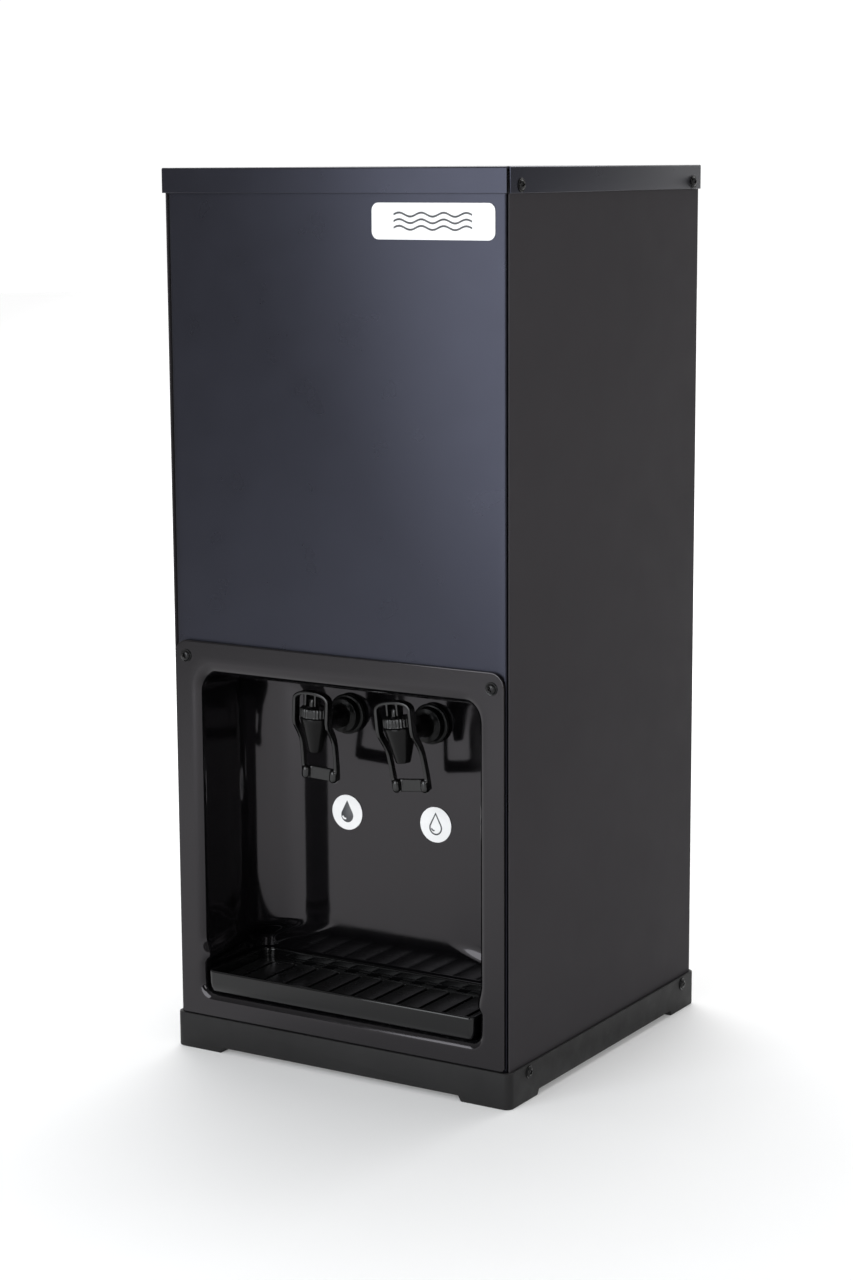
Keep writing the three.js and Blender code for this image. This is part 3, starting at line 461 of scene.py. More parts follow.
XZ = Matrix(((1, 0, 0, 0), (0, 0, -1, 0), (0, 1, 0, 0), (0, 0, 0, 1)))  # x, y, z -> x, -z, y: a plate drawn in x, z that grows towards -Y
YZ = Matrix(((0, 0, 1, 0), (1, 0, 0, 0), (0, 1, 0, 0), (0, 0, 0, 1)))   # x, y, z -> z, x, y: a plate drawn in y, z that grows towards +X


def turned(bm, m, x=0, y=0, z=0):
    bm.transform(Matrix.Translation((x, y, z)) @ m)
    return bm


def block(x0, x1, y0, y1, z0, z1):
    bm = bmesh.new()
    v = [bm.verts.new((x, y, z)) for x in (x0, x1) for y in (y0, y1) for z in (z0, z1)]
    for f in ((0, 1, 3, 2), (4, 6, 7, 5), (0, 4, 5, 1), (2, 3, 7, 6), (0, 2, 6, 4), (1, 5, 7, 3)):
        bm.faces.new([v[i] for i in f])
    return bm


def prism(points, lo, hi, m=None):
    bm = bmesh.new()
    a = [bm.verts.new((x, y, lo)) for x, y in points]
    b = [bm.verts.new((x, y, hi)) for x, y in points]
    n = len(points)
    for i in range(n):
        j = (i + 1) % n
        bm.faces.new((a[i], a[j], b[j], b[i]))
    bm.faces.new(list(reversed(a)))
    bm.faces.new(b)
    if m is not None:
        bm.transform(m)
    return bm


# ------------------------------------------------------------------ dimensions shared with the frame
HEIGHT, BODY, SHEET, SEAM, REAR_Y = 735, 160, 1.2, 2.8, 140
FACE, BACK = -164, -79
TAP_X, TAP_Z, SPOUT_Y = 41, 285, -128.7
TURN = {"cold": 2.5, "natural": -6.0}

# ------------------------------------------------------------------ painted sheet-metal body
for name, s in (("left_side_panel", -1), ("right_side_panel", 1)):
    web = plate([rrect(-BODY, BODY, 7.8, HEIGHT - 3, 1.2)], SHEET, 0.5, 3)
    turned(web, YZ, x=BODY - SHEET if s > 0 else -BODY)
    # the side sheets get the lighter copy of the cabinet paint, which is painted light
    piece(name.replace("_panel", "_sheet"), web, "paint_lit_copy", nodes=[name])


def front_sheet():
    # shallow pan with rolled vertical edges, seen in plan and run up the full height
    w, r, t, ret = BODY - SEAM, 2.0, SHEET, 14
    outer, inner = [], []
    for s in (-1, 1):
        arc_o = [(s * (w - r + r * math.cos(a)), -BODY + r - r * math.sin(a)) for a in [i * pi / 16 for i in range(9)]]
        arc_i = [(s * (w - r + (r - t) * math.cos(a)), -BODY + r - (r - t) * math.sin(a)) for a in [i * pi / 16 for i in range(9)]]
        o_pts = [(s * w, -BODY + ret)] + arc_o
        i_pts = [(s * (w - t), -BODY + ret)] + arc_i
        if s > 0:
            o_pts.reverse()
            i_pts.reverse()
        outer += o_pts
        inner += i_pts
    pan = prism(outer + inner[::-1], 7.8, HEIGHT - 3)
    hole = turned(prism(rrect(-147.5, 147.5, 38, 343, (14, 14, 34, 34), 10), -10, 10), XZ, y=-BODY)
    return boolean(pan, [hole])


piece("front_sheet", front_sheet(), "paint", nodes=["front_panel"], angle=30)

slots = [rrect(x0, x0 + 100, z, z + 7, 3.4, 5) for z in [160 + 24 * i for i in range(6)] for x0 in (10, -110)]
slots += [rrect(-60, 60, 600 + 20 * i, 607 + 20 * i, 3.4, 5) for i in range(3)]
circle = lambda cx, cy, r, n=32: [(cx + r * math.cos(2 * pi * i / n), cy + r * math.sin(2 * pi * i / n)) for i in range(n)]
slots += [circle(60, 420, 5), circle(-90, 500, 8.6), rrect(95 - 14.3, 95 + 14.3, 95 - 10.8, 95 + 10.8, 1.5, 3)]
rear = plate([rrect(-155.4, 155.4, 7.8, HEIGHT - 3, 1)] + slots, SHEET, 0.35, 2)
rear_bm = [turned(rear, XZ, y=REAR_Y)]
# pressed hoods over the air slots
for loop in slots[:15]:
    xs, zs = [p[0] for p in loop], [p[1] for p in loop]
    x0, x1, z1 = min(xs) - 1, max(xs) + 1, max(zs)
    rings = []
    for i in range(25):
        u = i / 24
        x = x0 + (x1 - x0) * u
        k = min(1, 4.2 * min(u, 1 - u) * (x1 - x0) / 40) ** 0.5 if 0 < u < 1 else 0.02
        k = max(k, 0.02)
        ring = []
        for j in range(9):
            a = j / 8 * pi / 2
            ring.append((x, REAR_Y - 0.3 + 4.2 * k * math.sin(a), z1 + 2.2 - 7.2 * k * (1 - math.cos(a))))
        for j in range(8, -1, -1):
            a = j / 8 * pi / 2
            ring.append((x, REAR_Y - 0.9 + 4.0 * k * math.sin(a), z1 + 1.4 - 6.4 * k * (1 - math.cos(a))))
        rings.append(ring)
    rear_bm.append(skin(rings))
piece("rear_sheet", joined(*rear_bm), "paint_lit_copy", nodes=["rear_panel"], angle=40)


def lid():
    x, y = 161.5, 164.5
    rings = []
    ring = lambda d, z: [(px, py, z) for px, py in rrect(-x + d, x - d, -y + d, y - d, max(2.2 - d, 0.3), 6)]
    for i in range(7):
        a = i / 6 * pi / 2
        rings.append(ring(1.6 * (1 - math.sin(a)), HEIGHT - 1.6 * (1 - math.cos(a))))
    rings = [ring(4, HEIGHT)] + rings
    rings += [ring(0, HEIGHT - 19.7), ring(0.3, HEIGHT - 20), ring(0.9, HEIGHT - 20), ring(1.2, HEIGHT - 19.7), ring(1.2, HEIGHT - 2.2), ring(2.2, HEIGHT - 1.2), ring(6, HEIGHT - 1.2)]
    cap = skin(rings)
    cutters = []
    for sx in (-1, 1):
        for sy in (-1, 1):
            xs = sorted((sx * 159.9, sx * 163))
            ys = sorted((sy * 160.9, sy * 166))
            cutters.append(block(*xs, *ys, HEIGHT - 22, HEIGHT + 2))
    return bevelled(boolean(cap, cutters), 0.25, 2, 50)


piece("lid_cap", lid(), "paint", nodes=["top_lid"], angle=30)


def base():
    ring = lambda d, z, s=10: [(px, py, z) for px, py in rrect(-163 + d, 163 - d, -165 + d, 165 - d, max(7 - d, 0.5), s)]
    inner = lambda d, z: [(px, py, z) for px, py in rrect(-160.5 + d, 160.5 - d, -160.5 + d, 160.5 - d, 4.5, 10)]
    rings = [ring(1.6, 0), ring(0.6, 0.25), ring(0.15, 0.8), ring(0, 1.6)]
    rings += [ring(0, 29.2), ring(0.15, 29.8), ring(0.6, 30.15), ring(1.1, 30.2), inner(-0.7, 30.2), inner(0, 29.8), inner(0, 7.5)]
    tub = skin(rings)
    nx, ny, h = 118, 120, 5
    trap = lambda n: [(-n - 0.6, -2), (n + 0.6, -2), (n, 0.4), (n - 2.6, h), (-n + 2.6, h), (-n, 0.4)]
    a = prism(trap(nx), -170, 170, XZ)
    b = prism(trap(ny), -170, 170, YZ)
    vents = [prism(rrect(-70, 70, y - 3, y + 3, 2.9, 5), -2, 12) for y in (-60, -40, -20)]
    return bevelled(boolean(boolean(tub, [a, b]), vents), 0.4, 2, 48)


piece("base_moulding", base(), "base", nodes=["base_tray"], angle=35)


# ------------------------------------------------------------------ vacuum-formed niche
def niche():
    SEG = 12
    ZS = [62, 66, 69, 71, 72, 73, 74, 75, 76, 77, 78, 79, 80, 81, 82, 83, 84, 85, 86, 87, 88, 89.5, 91, 93, 95, 97.5, 100, 103, 115, 135, 165, 200, 235, 265, 292]

    def outline(w, z0, z1, rb, rt):
        """Closed outline with its outward normals; the same count of points for every call."""
        pts = []
        half = []
        nb = 8
        for i in range(nb):
            half.append((i / nb * (w - rb), z0, 0, -1))
        for i in range(SEG + 1):
            a = -pi / 2 + i / SEG * pi / 2
            half.append((w - rb + rb * math.cos(a), z0 + rb + rb * math.sin(a), math.cos(a), math.sin(a)))
        for z in ZS:
            half.append((w, z, 1, 0))
        for i in range(SEG + 1):
            a = i / SEG * pi / 2
            half.append((w - rt + rt * math.cos(a), z1 - rt + rt * math.sin(a), math.cos(a), math.sin(a)))
        for i in range(1, nb + 1):
            half.append(((w - rt) * (1 - i / nb), z1, 0, 1))
        pts = half + [(-x, z, -nx, nz) for x, z, nx, nz in reversed(half[1:-1])]
        return pts

    def bump(x, y, z, k=1.0):
        t = min(max((y - FACE) / (BACK - FACE), 0), 1)
        zc = 80.5 + 7.5 * t
        fade = 1 if t < 0.35 else max(0, 1 - (t - 0.35) / 0.5) ** 1.5
        u = (z - zc) / (17 if z > zc else 7)
        return 3.1 * k * fade * (math.cos(u * pi / 2) ** 2 if abs(u) < 1 else 0)

    def placed(pts, off, y, k=1.0):
        """off: how far the ring lies outside its outline (number or function of the normal); y likewise."""
        ring = []
        for x, z, nx, nz in pts:
            d = off(nx, nz, z) if callable(off) else off
            yy = y(nx, nz, z) if callable(y) else y
            px, pz = x + nx * d, z + nz * d
            if k and abs(nx) > 0.7:
                px -= math.copysign(bump(px, yy, pz, k) * abs(nx), px)
            ring.append((px, yy, pz))
        return ring

    back = outline(132, 50.8, 322, 7, 14)
    front = outline(133, 50.8, 322, 7, 14)
    mid = lambda t: [tuple(a + (b - a) * t for a, b in zip(p, q)) for p, q in zip(back, front)]

    def upper(z):  # 0 in the tray pocket, 1 on the wall above it
        u = min(max((z - 79) / 19, 0), 1)
        return u * u * (3 - 2 * u)

    def rad(nx, nz, z):
        return (14 + 31 * upper(z)) * nx * nx + (13 if nz > 0 else 7) * nz * nz

    SAG, SPREAD = 1.75, 32  # the back wall lies a little deeper beside its rounded corners

    def sag(nx, z, s):
        u = min(max(s / SPREAD, 0), 1)
        return SAG * nx * nx * upper(z) * (1 - u * u * (3 - 2 * u))

    def warped(off, g, y):
        """The back outline drawn in towards its middle, g = 1 being the edge of the flat back wall."""
        ring = []
        for x, z, nx, nz in back:
            top, low = min(max((z - 274) / 48, 0), 1), min(max((70 - z) / 19.2, 0), 1)
            px = (x + nx * off) * (1 - (14 + 31 * upper(z) + off) * g / (132 + off))
            pz = z + nz * off - (13 + off) * g * top + (7 + off) * g * low
            yy = y(nx, nz, z)
            if abs(nx) > 0.7:
                px -= math.copysign(bump(px, yy, pz, max(0, 1 - 2 * g)) * abs(nx), px)
            ring.append((px, yy, pz))
        return ring

    rings = []
    for s in (60, 44, 36, 31, 27, 24, 21, 18, 15, 12, 9, 6, 3):  # back wall beside the corners
        edge = warped(0, 1, lambda nx, nz, z, s=s: BACK + sag(nx, z, s))
        rings.append([(x * (1 - s / 88), y, 190 + (z - 190) * (1 - s / 560)) for x, y, z in edge])
    for i in range(17):  # back wall to side walls
        a = pi / 2 * (1 - i / 16)
        rings.append(warped(0, 1 - math.cos(a), lambda nx, nz, z, a=a: BACK + sag(nx, z, 0) * math.sin(a) ** 4 - rad(nx, nz, z) * (1 - math.sin(a))))
    for t in (0.12, 0.25, 0.4, 0.55, 0.7, 0.85, 1.0):
        rings.append(placed(mid(t), 0, lambda nx, nz, z, t=t: (BACK - rad(nx, nz, z)) * (1 - t) - 150 * t))
    roll = lambda nx, nz, z: 8 - 1.4 * max(0, -nz) + 5 * max(0, nz) ** 2
    for i in range(13):  # rolled opening edge
        b = pi / 2 * i / 12
        rings.append(placed(front, lambda nx, nz, z, b=b: roll(nx, nz, z) * (1 - math.cos(b)), lambda nx, nz, z, b=b: FACE + roll(nx, nz, z) * (1 - math.sin(b)), 1.0 - 0.2 * i / 12))
    plate_line = outline(157, 30.8, 351, 3, 12)
    outer = placed(plate_line, -0.7, FACE, 0)
    last = rings[-1]
    for t in (0.25, 0.6):
        rings.append([tuple(a + (b - a) * t for a, b in zip(p, q)) for p, q in zip(last, outer)])
    rings.append(placed(plate_line, -1.3, FACE, 0))
    for i in range(6):
        c = pi / 2 * i / 5
        rings.append(placed(plate_line, -0.7 * (1 - math.sin(c)), FACE + 0.7 * (1 - math.cos(c)), 0))
    rings.append(placed(plate_line, 0, -160.4, 0))
    # reverse side, 2.2 mm behind the show face
    rings.append(placed(plate_line, -1.2, -160.35, 0))
    for i in range(7, -1, -1):
        b = pi / 2 * i / 10
        rings.append(placed(front, lambda nx, nz, z, b=b: 2.2 + (roll(nx, nz, z)) * (1 - math.cos(b)) * 0.8, lambda nx, nz, z, b=b: max(FACE + 3.65, FACE + 2.2 + roll(nx, nz, z) * (1 - math.sin(b))), 0.7))
    rings.append(placed(mid(0.8), 2.2, -146))
    for t in (0.35, 0):
        rings.append(placed(back, 2.2, lambda nx, nz, z, t=t: (BACK - rad(nx, nz, z)) * (1 - t) - 146 * t))
    for i in range(10, -1, -1):
        a = pi / 2 * (1 - i / 11)
        rings.append(warped(2.2, 1 - math.cos(a), lambda nx, nz, z, a=a: BACK - rad(nx, nz, z) + (rad(nx, nz, z) + 2.2) * math.sin(a)))
    return skin(rings)


piece("niche_moulding", niche(), "niche", nodes=["niche_panel", "niche_floor"], angle=42)


# ------------------------------------------------------------------ drip tray and grid
def tray_line(d, seg=10):
    q = max(4.5 - d, 0.8)
    return rrect(-128 + d, 128 - d, -164 + d, -82.5 - d, (q, q, 13 - d if d < 12 else 1, 13 - d if d < 12 else 1), seg)


def tray():
    r = lambda d, z: [(x, y, z) for x, y in tray_line(d)]
    rings = [r(3.4, 52), r(2.2, 52.1), r(1.3, 52.7), r(0.6, 53.9), r(-0.7, 57), r(-1.3, 60.5), r(-1.55, 68.9), r(-1.6, 69.6), r(-1.5, 70.4), r(-1.15, 70.95), r(-0.6, 71.2), r(0.6, 71.15), r(1.3, 71.0), r(1.8, 70.6), r(2.0, 69.8), r(2.02, 69.3),
             r(2.18, 62.2), r(2.2, 61.6), r(2.5, 61.15), r(3.9, 61.0), r(4.4, 60.8), r(4.6, 60.2), r(5.0, 55.6), r(5.6, 54.5), r(6.8, 54.0), r(10, 54.0)]
    body = skin(rings)
    feet = [bevelled(block(x - 2, x + 2, -152, -94.5, 51.15, 52.6), 0.4) for x in (-90, 90)]
    return joined(body, *feet)


piece("tray_moulding", tray(), "tray", body="tray", nodes=["drip_tray"], angle=34)


def grid():
    loops = [tray_line(2.7)]
    for i in range(-5, 6):
        x = i * 22
        end = -96 if abs(i) == 5 else -93.5
        loops.append(rrect(x - 1.5, x + 1.5, -156, end, 1.4, 4))
    top = plate(loops, 2, 0.45, 2)
    top.transform(Matrix.Translation((0, 0, 61.3)))
    cuts = [block(i * 22 + 1.5, i * 22 + 12.5, -89.4, -80, 50, 80) for i in range(-4, 5)]
    top = boolean(top, cuts)
    # a broken bead runs along the back ends of the slots
    beads = []
    for i in range(-5, 5):
        beads.append(turned(plate([rrect(i * 22 + 3.2, i * 22 + 18.8, -92.6, -91.2, 0.6, 4)], 0.8, 0.35, 2), Matrix.Identity(4), z=62.8))
    return joined(top, *beads)


piece("grid_moulding", grid(), "grid", body="grid", nodes=["drip_grid"], angle=34)


# ------------------------------------------------------------------ taps
def remeshed(bm, voxel, smooth=3, keep=0.4):
    o = bm_obj(bm)
    r = o.modifiers.new("r", "REMESH")
    r.mode, r.voxel_size, r.use_smooth_shade = "VOXEL", voxel, True
    s = o.modifiers.new("s", "SMOOTH")
    s.factor, s.iterations = 0.5, smooth
    if keep < 1:
        d = o.modifiers.new("d", "DECIMATE")
        d.ratio = keep
    return evaluated(o)


def sweep(points, normals, halves, sect=16, corner=0.9, closed=False):
    """Rounded strip along a path: halves gives (half thickness along the normal, half depth across it)."""
    rings = []
    n = len(points)
    for i in range(n):
        p = Vector(points[i])
        t = (Vector(points[min(i + 1, n - 1)]) - Vector(points[max(i - 1, 0)])).normalized()
        nn = Vector(normals[i])
        nn = (nn - t * nn.dot(t)).normalized()
        d = t.cross(nn)
        hw, hd = halves[i]
        ring = []
        for x, y in rrect(-hw, hw, -hd, hd, corner, 3):
            ring.append(tuple(p + nn * x + d * y))
        rings.append(ring)
    return skin(rings)


def lever():
    arm = [(-119.3, -47.5, 2.9), (-119.5, -44, 3.0), (-120.4, -36, 3.0), (-122, -26, 2.9), (-123.8, -17.5, 2.9), (-125.4, -13, 3.0), (-128.4, -8, 3.2), (-131.8, -3.2, 3.4),
           (-134.1, 0.2, 3.7), (-134.9, 3.5, 3.9), (-135, 8, 4), (-135, 14, 4), (-135, 18, 4)]
    pts, nor, hal = [], [], []
    for y, z, h in arm:
        pts.append((16.0, y, z)); nor.append((1, 0, 0)); hal.append((1.55, h))
    for i in range(0, 25):
        a = pi * i / 24
        cx, sn = math.cos(a), math.sin(a)
        x = 16.0 * math.copysign(abs(cx) ** 0.82, cx)
        z = 20 + 7.0 * sn ** 0.82
        pts.append((x, -135, z))
        nor.append((cx, 0, sn * 1.6)); hal.append((1.5, 4))
    for y, z, h in reversed(arm):
        pts.append((-16.0, y, z)); nor.append((-1, 0, 0)); hal.append((1.55, h))
    # turn the arch's normals square to its path
    for i in range(len(arm), len(arm) + 25):
        t = Vector(pts[i + 1]) - Vector(pts[i - 1])
        nor[i] = tuple(Vector((t.z, 0, -t.x)).normalized())
    parts = [sweep(pts, nor, hal)]
    bar = plate([rrect(-16.2, 16.2, -49.3, -38.6, 2.2, 5)], 2.8, 0.8, 3)
    parts.append(turned(bar, XZ, y=-117.2))
    for s in (-1, 1):
        cap = [(0, -50.0)] + [(3.9 * math.sin(a), -46.1 - 3.9 * math.cos(a)) for a in [i * pi / 12 for i in range(1, 7)]]
        cap += [(3.9 * math.cos(a), -41.8 + 3.9 * math.sin(a)) for a in [i * pi / 12 for i in range(0, 6)]] + [(0, -37.9)]
        parts.append(along(lathe(cap, 28), (0, 0, 1), s * 13.6, -121.0, 0))
        rib = plate([rrect(-139, -130, 14.9, 27.6, (2.6, 3.2, 1, 1), 6)], 2.0, 0.6, 3)
        parts.append(turned(rib, YZ, x=3.7 if s > 0 else -5.7))
    return parts


def tap_parts(kind, s):
    m = Matrix.Translation((s * TAP_X, 0, TAP_Z)) @ Matrix.Rotation(math.radians(TURN[kind]), 4, "Y")
    spout = lathe([(0, -7), (3.6, -7), (3.6, -22.7), (3.9, -23.3), (4.4, -23.5), (5.3, -23.5), (5.85, -23.2), (6.15, -22.6), (6.6, -21), (9.6, -10), (12.6, 1.4), (13.05, 3.2), (13.2, 4.4), (13.1, 5.4), (12.6, 5.9), (11, 6), (11, 12), (0, 12)], 64)
    spout.transform(Matrix.Translation((0, SPOUT_Y, 0)))
    yy = lambda pts: [(r, -y) for r, y in pts]
    barrel = lathe([(0, 128), (8, 128), (8, 99), (8.3, 94.5), (9.4, 92.2), (11, 91.3), (13.3, 91.0), (14.1, 90.7), (14.5, 90), (14.5, 85.2), (14.8, 84.5), (15.6, 84.3), (16.2, 84.2), (16.8, 83.8), (17, 83.1), (17, 81.9), (16.7, 81.3), (16, 81.1), (10, 81.0),
                    (10, 53), (9.2, 52.2), (0, 52.2)], 64)
    barrel = along(barrel, (0, -1, 0))
    union = boolean(spout, [barrel], "UNION")
    bore = along(lathe([(0, 40), (4.4, 40), (4.4, 120), (0, 120)], 32), (0, -1, 0))
    body = boolean(union, [bore])
    # the tap body gets the shaded copy of the tap plastic, which is painted shade
    piece(f"{kind}_tap_moulding", body, "tap_body", nodes=[f"{kind}_tap_body"], angle=32, matrix=m)

    def ribs(a, i, r, z):
        if r < 13 or not 6.9 < z < 13.3:
            return 0
        return -0.6 * (0.5 + 0.5 * math.cos(32 * a)) ** 0.7

    collar = lathe([(11.5, 6.4), (12.9, 6.4), (13.5, 6.6), (13.75, 7.0), (13.75, 7.6), (13.75, 10), (13.75, 12.6), (13.65, 13.2), (13.2, 13.8), (12.5, 14.15), (11.8, 14.2), (6.5, 14.2), (5.6, 14.0), (5.2, 13.6), (2.6, 13.6), (2.6, 12.5), (11.5, 12.5)], 224, ribs)
    collar.transform(Matrix.Translation((0, SPOUT_Y, 0)))
    piece(f"{kind}_tap_collar", collar, "tap", nodes=[f"{kind}_tap_bonnet"], angle=40, matrix=m)

    stem = lathe([(0, -1.6), (4.6, -1.6), (5.2, -1.2), (5.2, 0.2), (4.6, 0.6), (2.2, 0.9), (2.0, 1.2), (2.0, 15.6), (0, 15.6)], 24)
    stem.transform(Matrix.Translation((0, SPOUT_Y, 0)))
    eye = turned(bevelled(plate([rrect(-137.0, -127.0, 14.6, 23.4, (1, 1, 4, 4), 8), circle(-134, 20, 1.62, 20)], 3.0, 0.3, 2), 0.01, 1), YZ, x=-1.5)
    piece(f"{kind}_stem_rod", joined(stem, eye), "tap", body=f"{kind}_stem", nodes=[f"{kind}_valve_stem"], angle=35, matrix=m)

    lev = remeshed(joined(*lever()), 0.42, 4, 0.45)
    piece(f"{kind}_lever_loop", lev, "tap", body=f"{kind}_lever", nodes=[f"{kind}_lever"], angle=60, matrix=m)


for kind, s in (("cold", -1), ("natural", 1)):
    tap_parts(kind, s)


# ------------------------------------------------------------------ discs, pictograms and label
def disc(name, x):
    d = along(lathe([(0, 0), (14.85, 0), (15, 0.12), (15, 0.3), (14.85, 0.42), (0, 0.42)], 72), (0, -1, 0), x, BACK - 0.28, 199.7)
    piece(name + "_sticker", d, "label", nodes=[name], angle=30)


def drop(cx, cz, h, w, n=40):
    """Outline of a water drop with its point up."""
    r = w / 2
    c = cz - h / 2 + r
    top = cz + h / 2
    phi = math.acos(min(1, r / (top - c)))
    pts = [(cx, top)]
    for i in range(n + 1):
        a = pi / 2 - phi - (2 * pi - 2 * phi) * i / n
        pts.append((cx + r * math.cos(a), c + r * math.sin(a)))
    return pts


disc("cold_disc", -43.6)
disc("natural_disc", 43.6)
p = turned(plate([drop(0, 0, 19, 12)], 0.1, 0.02, 1), XZ, -43.6, BACK - 0.69, 200.6)
piece("cold_drop_print", p, "print")
glint = [(-2.5 + 2.3 * math.cos(a), -2.9 + 2.3 * math.sin(a)) for a in [math.radians(190 + 100 * i / 12) for i in range(13)]]
glint += [(-2.5 + 1.55 * math.cos(a) + 0.25, -2.9 + 1.55 * math.sin(a) + 0.3) for a in [math.radians(290 - 100 * i / 12) for i in range(13)]]
p = turned(plate([[(1.35 * x + 1.3, 1.35 * y - 0.2) for x, y in glint]], 0.06, 0.01, 1), XZ, -43.6, BACK - 0.78, 200.6)
piece("cold_drop_glint", p, "label")
p = turned(plate([drop(0, 0, 19.4, 12.4), drop(0, -0.5, 15.8, 9.8)], 0.1, 0.02, 1), XZ, 43.6, BACK - 0.69, 200.6)
piece("natural_drop_print", p, "print")
p = turned(plate([[(1.15 * x + 1.0, 1.15 * y - 0.6) for x, y in glint]], 0.1, 0.02, 1), XZ, 43.6, BACK - 0.69, 200.6)
piece("natural_drop_glint", p, "print")

lab = turned(plate([rrect(38, 148, 680, 708, 6, 8)], 0.4, 0.12, 2), XZ, y=-BODY - 0.28)
piece("front_label_plate", lab, "label", nodes=["front_label"])
for k, z in enumerate((699, 694, 689)):
    pts_t, pts_b = [], []
    for i in range(41):
        x = 58 + 70 * i / 40
        y = z + 1.5 * math.sin(2 * pi * i / 40 * 3.5)
        pts_t.append((x, y + 0.8))
        pts_b.append((x, y - 0.8))
    p = turned(plate([pts_t + pts_b[::-1]], 0.1, 0.02, 1), XZ, 0, -BODY - 0.67, 0)
    piece(f"label_wave_{k + 1}", p, "print")


# ------------------------------------------------------------------ flange-head screws
def screw_mesh():
    head = lathe([(0, 2.15), (1.5, 2.1), (2.6, 1.9), (3.3, 1.55), (3.75, 1.1), (3.9, 0.8), (4.0, 0.42), (4.3, 0.42), (4.42, 0.66), (5.15, 0.68), (5.35, 0.5), (5.4, 0.25), (5.35, 0.02), (5.2, 0), (1.75, 0), (1.75, -4.4), (1.3, -5), (0, -5)], 48)
    arms = []
    for ang in (0, pi / 2):
        prof = [(-2.3, 2.6), (2.3, 2.6), (2.25, 1.9), (1.3, -1.2), (-1.3, -1.2), (-2.25, 1.9)]
        a = prism(prof, -0.62, 0.62, XZ)
        a.transform(Matrix.Rotation(ang + 0.35, 4, "Z"))
        arms.append(a)
    return bevelled(boolean(head, arms), 0.08, 1, 55)


proto = screw_mesh()
for side, s in (("left", -1), ("right", 1)):
    spots = [(f"lid_screw_{side}_{e}", (s * 161.75, y, 721), (s, 0, 0)) for e, y in (("front", -145), ("rear", 147))]
    spots += [(f"base_screw_{side}_{e}", (s * 163.2, y, 24), (s, 0, 0)) for e, y in (("front", -134), ("rear", 139.5))]
    spots += [(f"niche_screw_{side}", (s * 146, -164.15, 338), (0, -1, 0))]
    for name, at, axis in spots:
        bm = along(proto.copy(), axis, *at)
        piece(name + "_head", bm, "screw", nodes=[name], angle=34)
proto.free()


# ------------------------------------------------------------------ rear fittings
def knob():
    k = lathe([(3.3, 0.9), (14.2, 0.9), (15, 1.6), (15, 4.2), (14.6, 4.9), (13.2, 5.2), (13.0, 6), (12.6, 14.6), (12.2, 15.5), (11.2, 16), (0.0001, 16), (0.0001, 12.4), (3.3, 12.4)], 120,
              lambda a, i, r, z: -0.35 * (0.5 + 0.5 * math.cos(30 * a)) if 5.5 < z < 15 and r > 11 else 0)
    k = along(k, (0, 1, 0), 60, REAR_Y, 420)
    mark = turned(plate([rrect(-0.6, 0.6, 4, 11.5, 0.5, 3)], 0.25, 0.08, 1), Matrix.Rotation(pi, 4, "Z") @ XZ, 60, REAR_Y + 15.9, 420)
    return k, mark


k, mark = knob()
piece("thermostat_dial", k, "base", body="dial", nodes=["thermostat_knob"], angle=32)
piece("dial_mark", mark, "label", body="dial")
ticks = []
for i in range(9):
    a = math.radians(-120 + 30 * i)
    t = plate([rrect(-0.5, 0.5, 18, 21.5 if i % 4 else 23, 0.4, 2)], 0.12, 0.03, 1)
    t.transform(Matrix.Rotation(a, 4, "Z"))
    ticks.append(turned(t, Matrix.Rotation(pi, 4, "Z") @ XZ, 60, REAR_Y + 0.02, 420))
piece("dial_scale", joined(*ticks), "label")

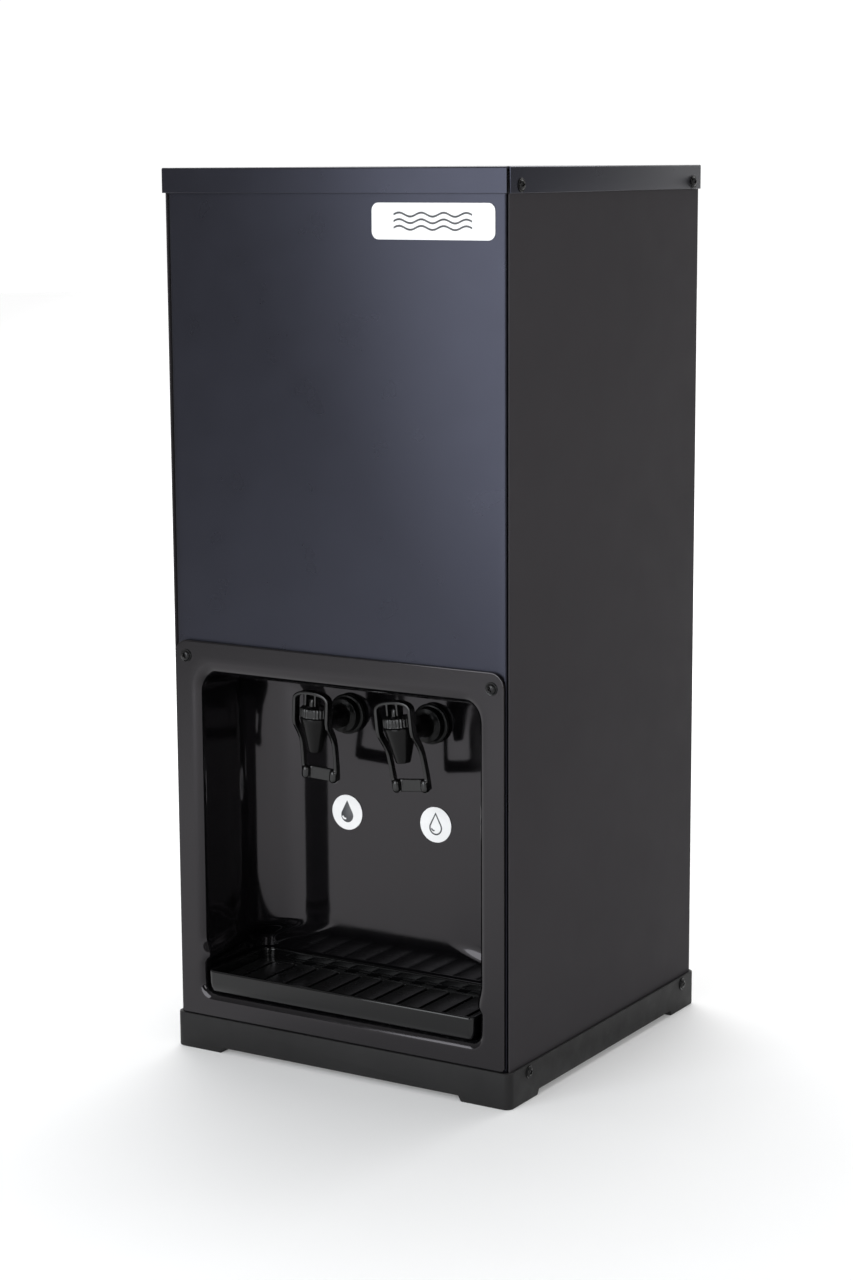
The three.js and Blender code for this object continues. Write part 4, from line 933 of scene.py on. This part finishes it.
hexa = lambda r, n=6: [(r * math.cos(pi / 6 + 2 * pi * i / n), r * math.sin(pi / 6 + 2 * pi * i / n)) for i in range(n)]
nut = bevelled(prism(hexa(13), 0.3, 5), 0.5, 2)
stub = lathe([(4, -13.7), (7.4, -13.7), (8, -13.1), (8, 5.5), (7.7, 6), (8, 6.5), (7.7, 7), (8, 7.5), (7.7, 8), (8, 8.5), (7.7, 9), (8, 9.5), (7.7, 10), (8, 10.5), (7.7, 11), (8, 11.5), (7.7, 12), (8, 12.5), (7.6, 13.6), (7, 14), (4.5, 14), (4, 13.6)], 48)
both = joined(nut, stub)
piece("inlet_stub", along(both, (0, 1, 0), -90, REAR_Y, 500), "white", nodes=["water_inlet"], angle=32)


def socket():
    flange = bevelled(turned(prism(rrect(-19, 19, -14, 14, 4, 8), 0.3, 3), Matrix.Identity(4)), 0.6, 2)
    can = block(-14, 14, -10.5, 10.5, -16, 1)
    u = boolean(flange, [can], "UNION")
    well = prism(rrect(-11.5, 11.5, -8, 8, (1.5, 1.5, 4, 4), 4), -13, 6)
    return boolean(u, [well])


turn = Matrix.Rotation(pi, 4, "Z") @ XZ
piece("inlet_socket", turned(socket(), turn, 95, REAR_Y, 95), "base", nodes=["power_inlet"], angle=32)
for i, (px, pz) in enumerate(((-6, -2), (0, 2.6), (6, -2))):
    pin = bevelled(block(px - 1, px + 1, pz - 2, pz + 2, -13.2, -4), 0.3, 2)
    piece(f"socket_blade_{i + 1}", turned(pin, turn, 95, REAR_Y, 95), "brass")

# ------------------------------------------------------------------ every CAD node still showing gets its procedural finish
for name, o in frame["nodes"].items():
    if o.hide_render or o.hide_get():
        continue
    mat = M[SLOT_MAT[slot_of[name]]]
    if o.material_slots:
        for ms in o.material_slots:
            ms.link = "DATA"
            ms.material = mat
    else:
        o.data.materials.append(mat)
    for p in o.data.polygons:
        p.use_smooth = True
    o.data.set_sharp_from_angle(angle=math.radians(35))

# ------------------------------------------------------------------ floor
fl = bmesh.new()
bmesh.ops.create_circle(fl, cap_ends=True, segments=96, radius=14)
me = bpy.data.meshes.new("floor")
fl.to_mesh(me)
fl.free()
# the floor paper carries painted glow (emission) and painted shade in front of the object, through glow in material()
me.materials.append(material("floor_paper", (0.80, 0.80, 0.80), (0.83, 0.83, 0.83), (0.7, 0.8), spec=0.2, mottle=2, grain=(300, 0.00002), glow=0.62))
floor = bpy.data.objects.new("floor", me)
sc.collection.objects.link(floor)
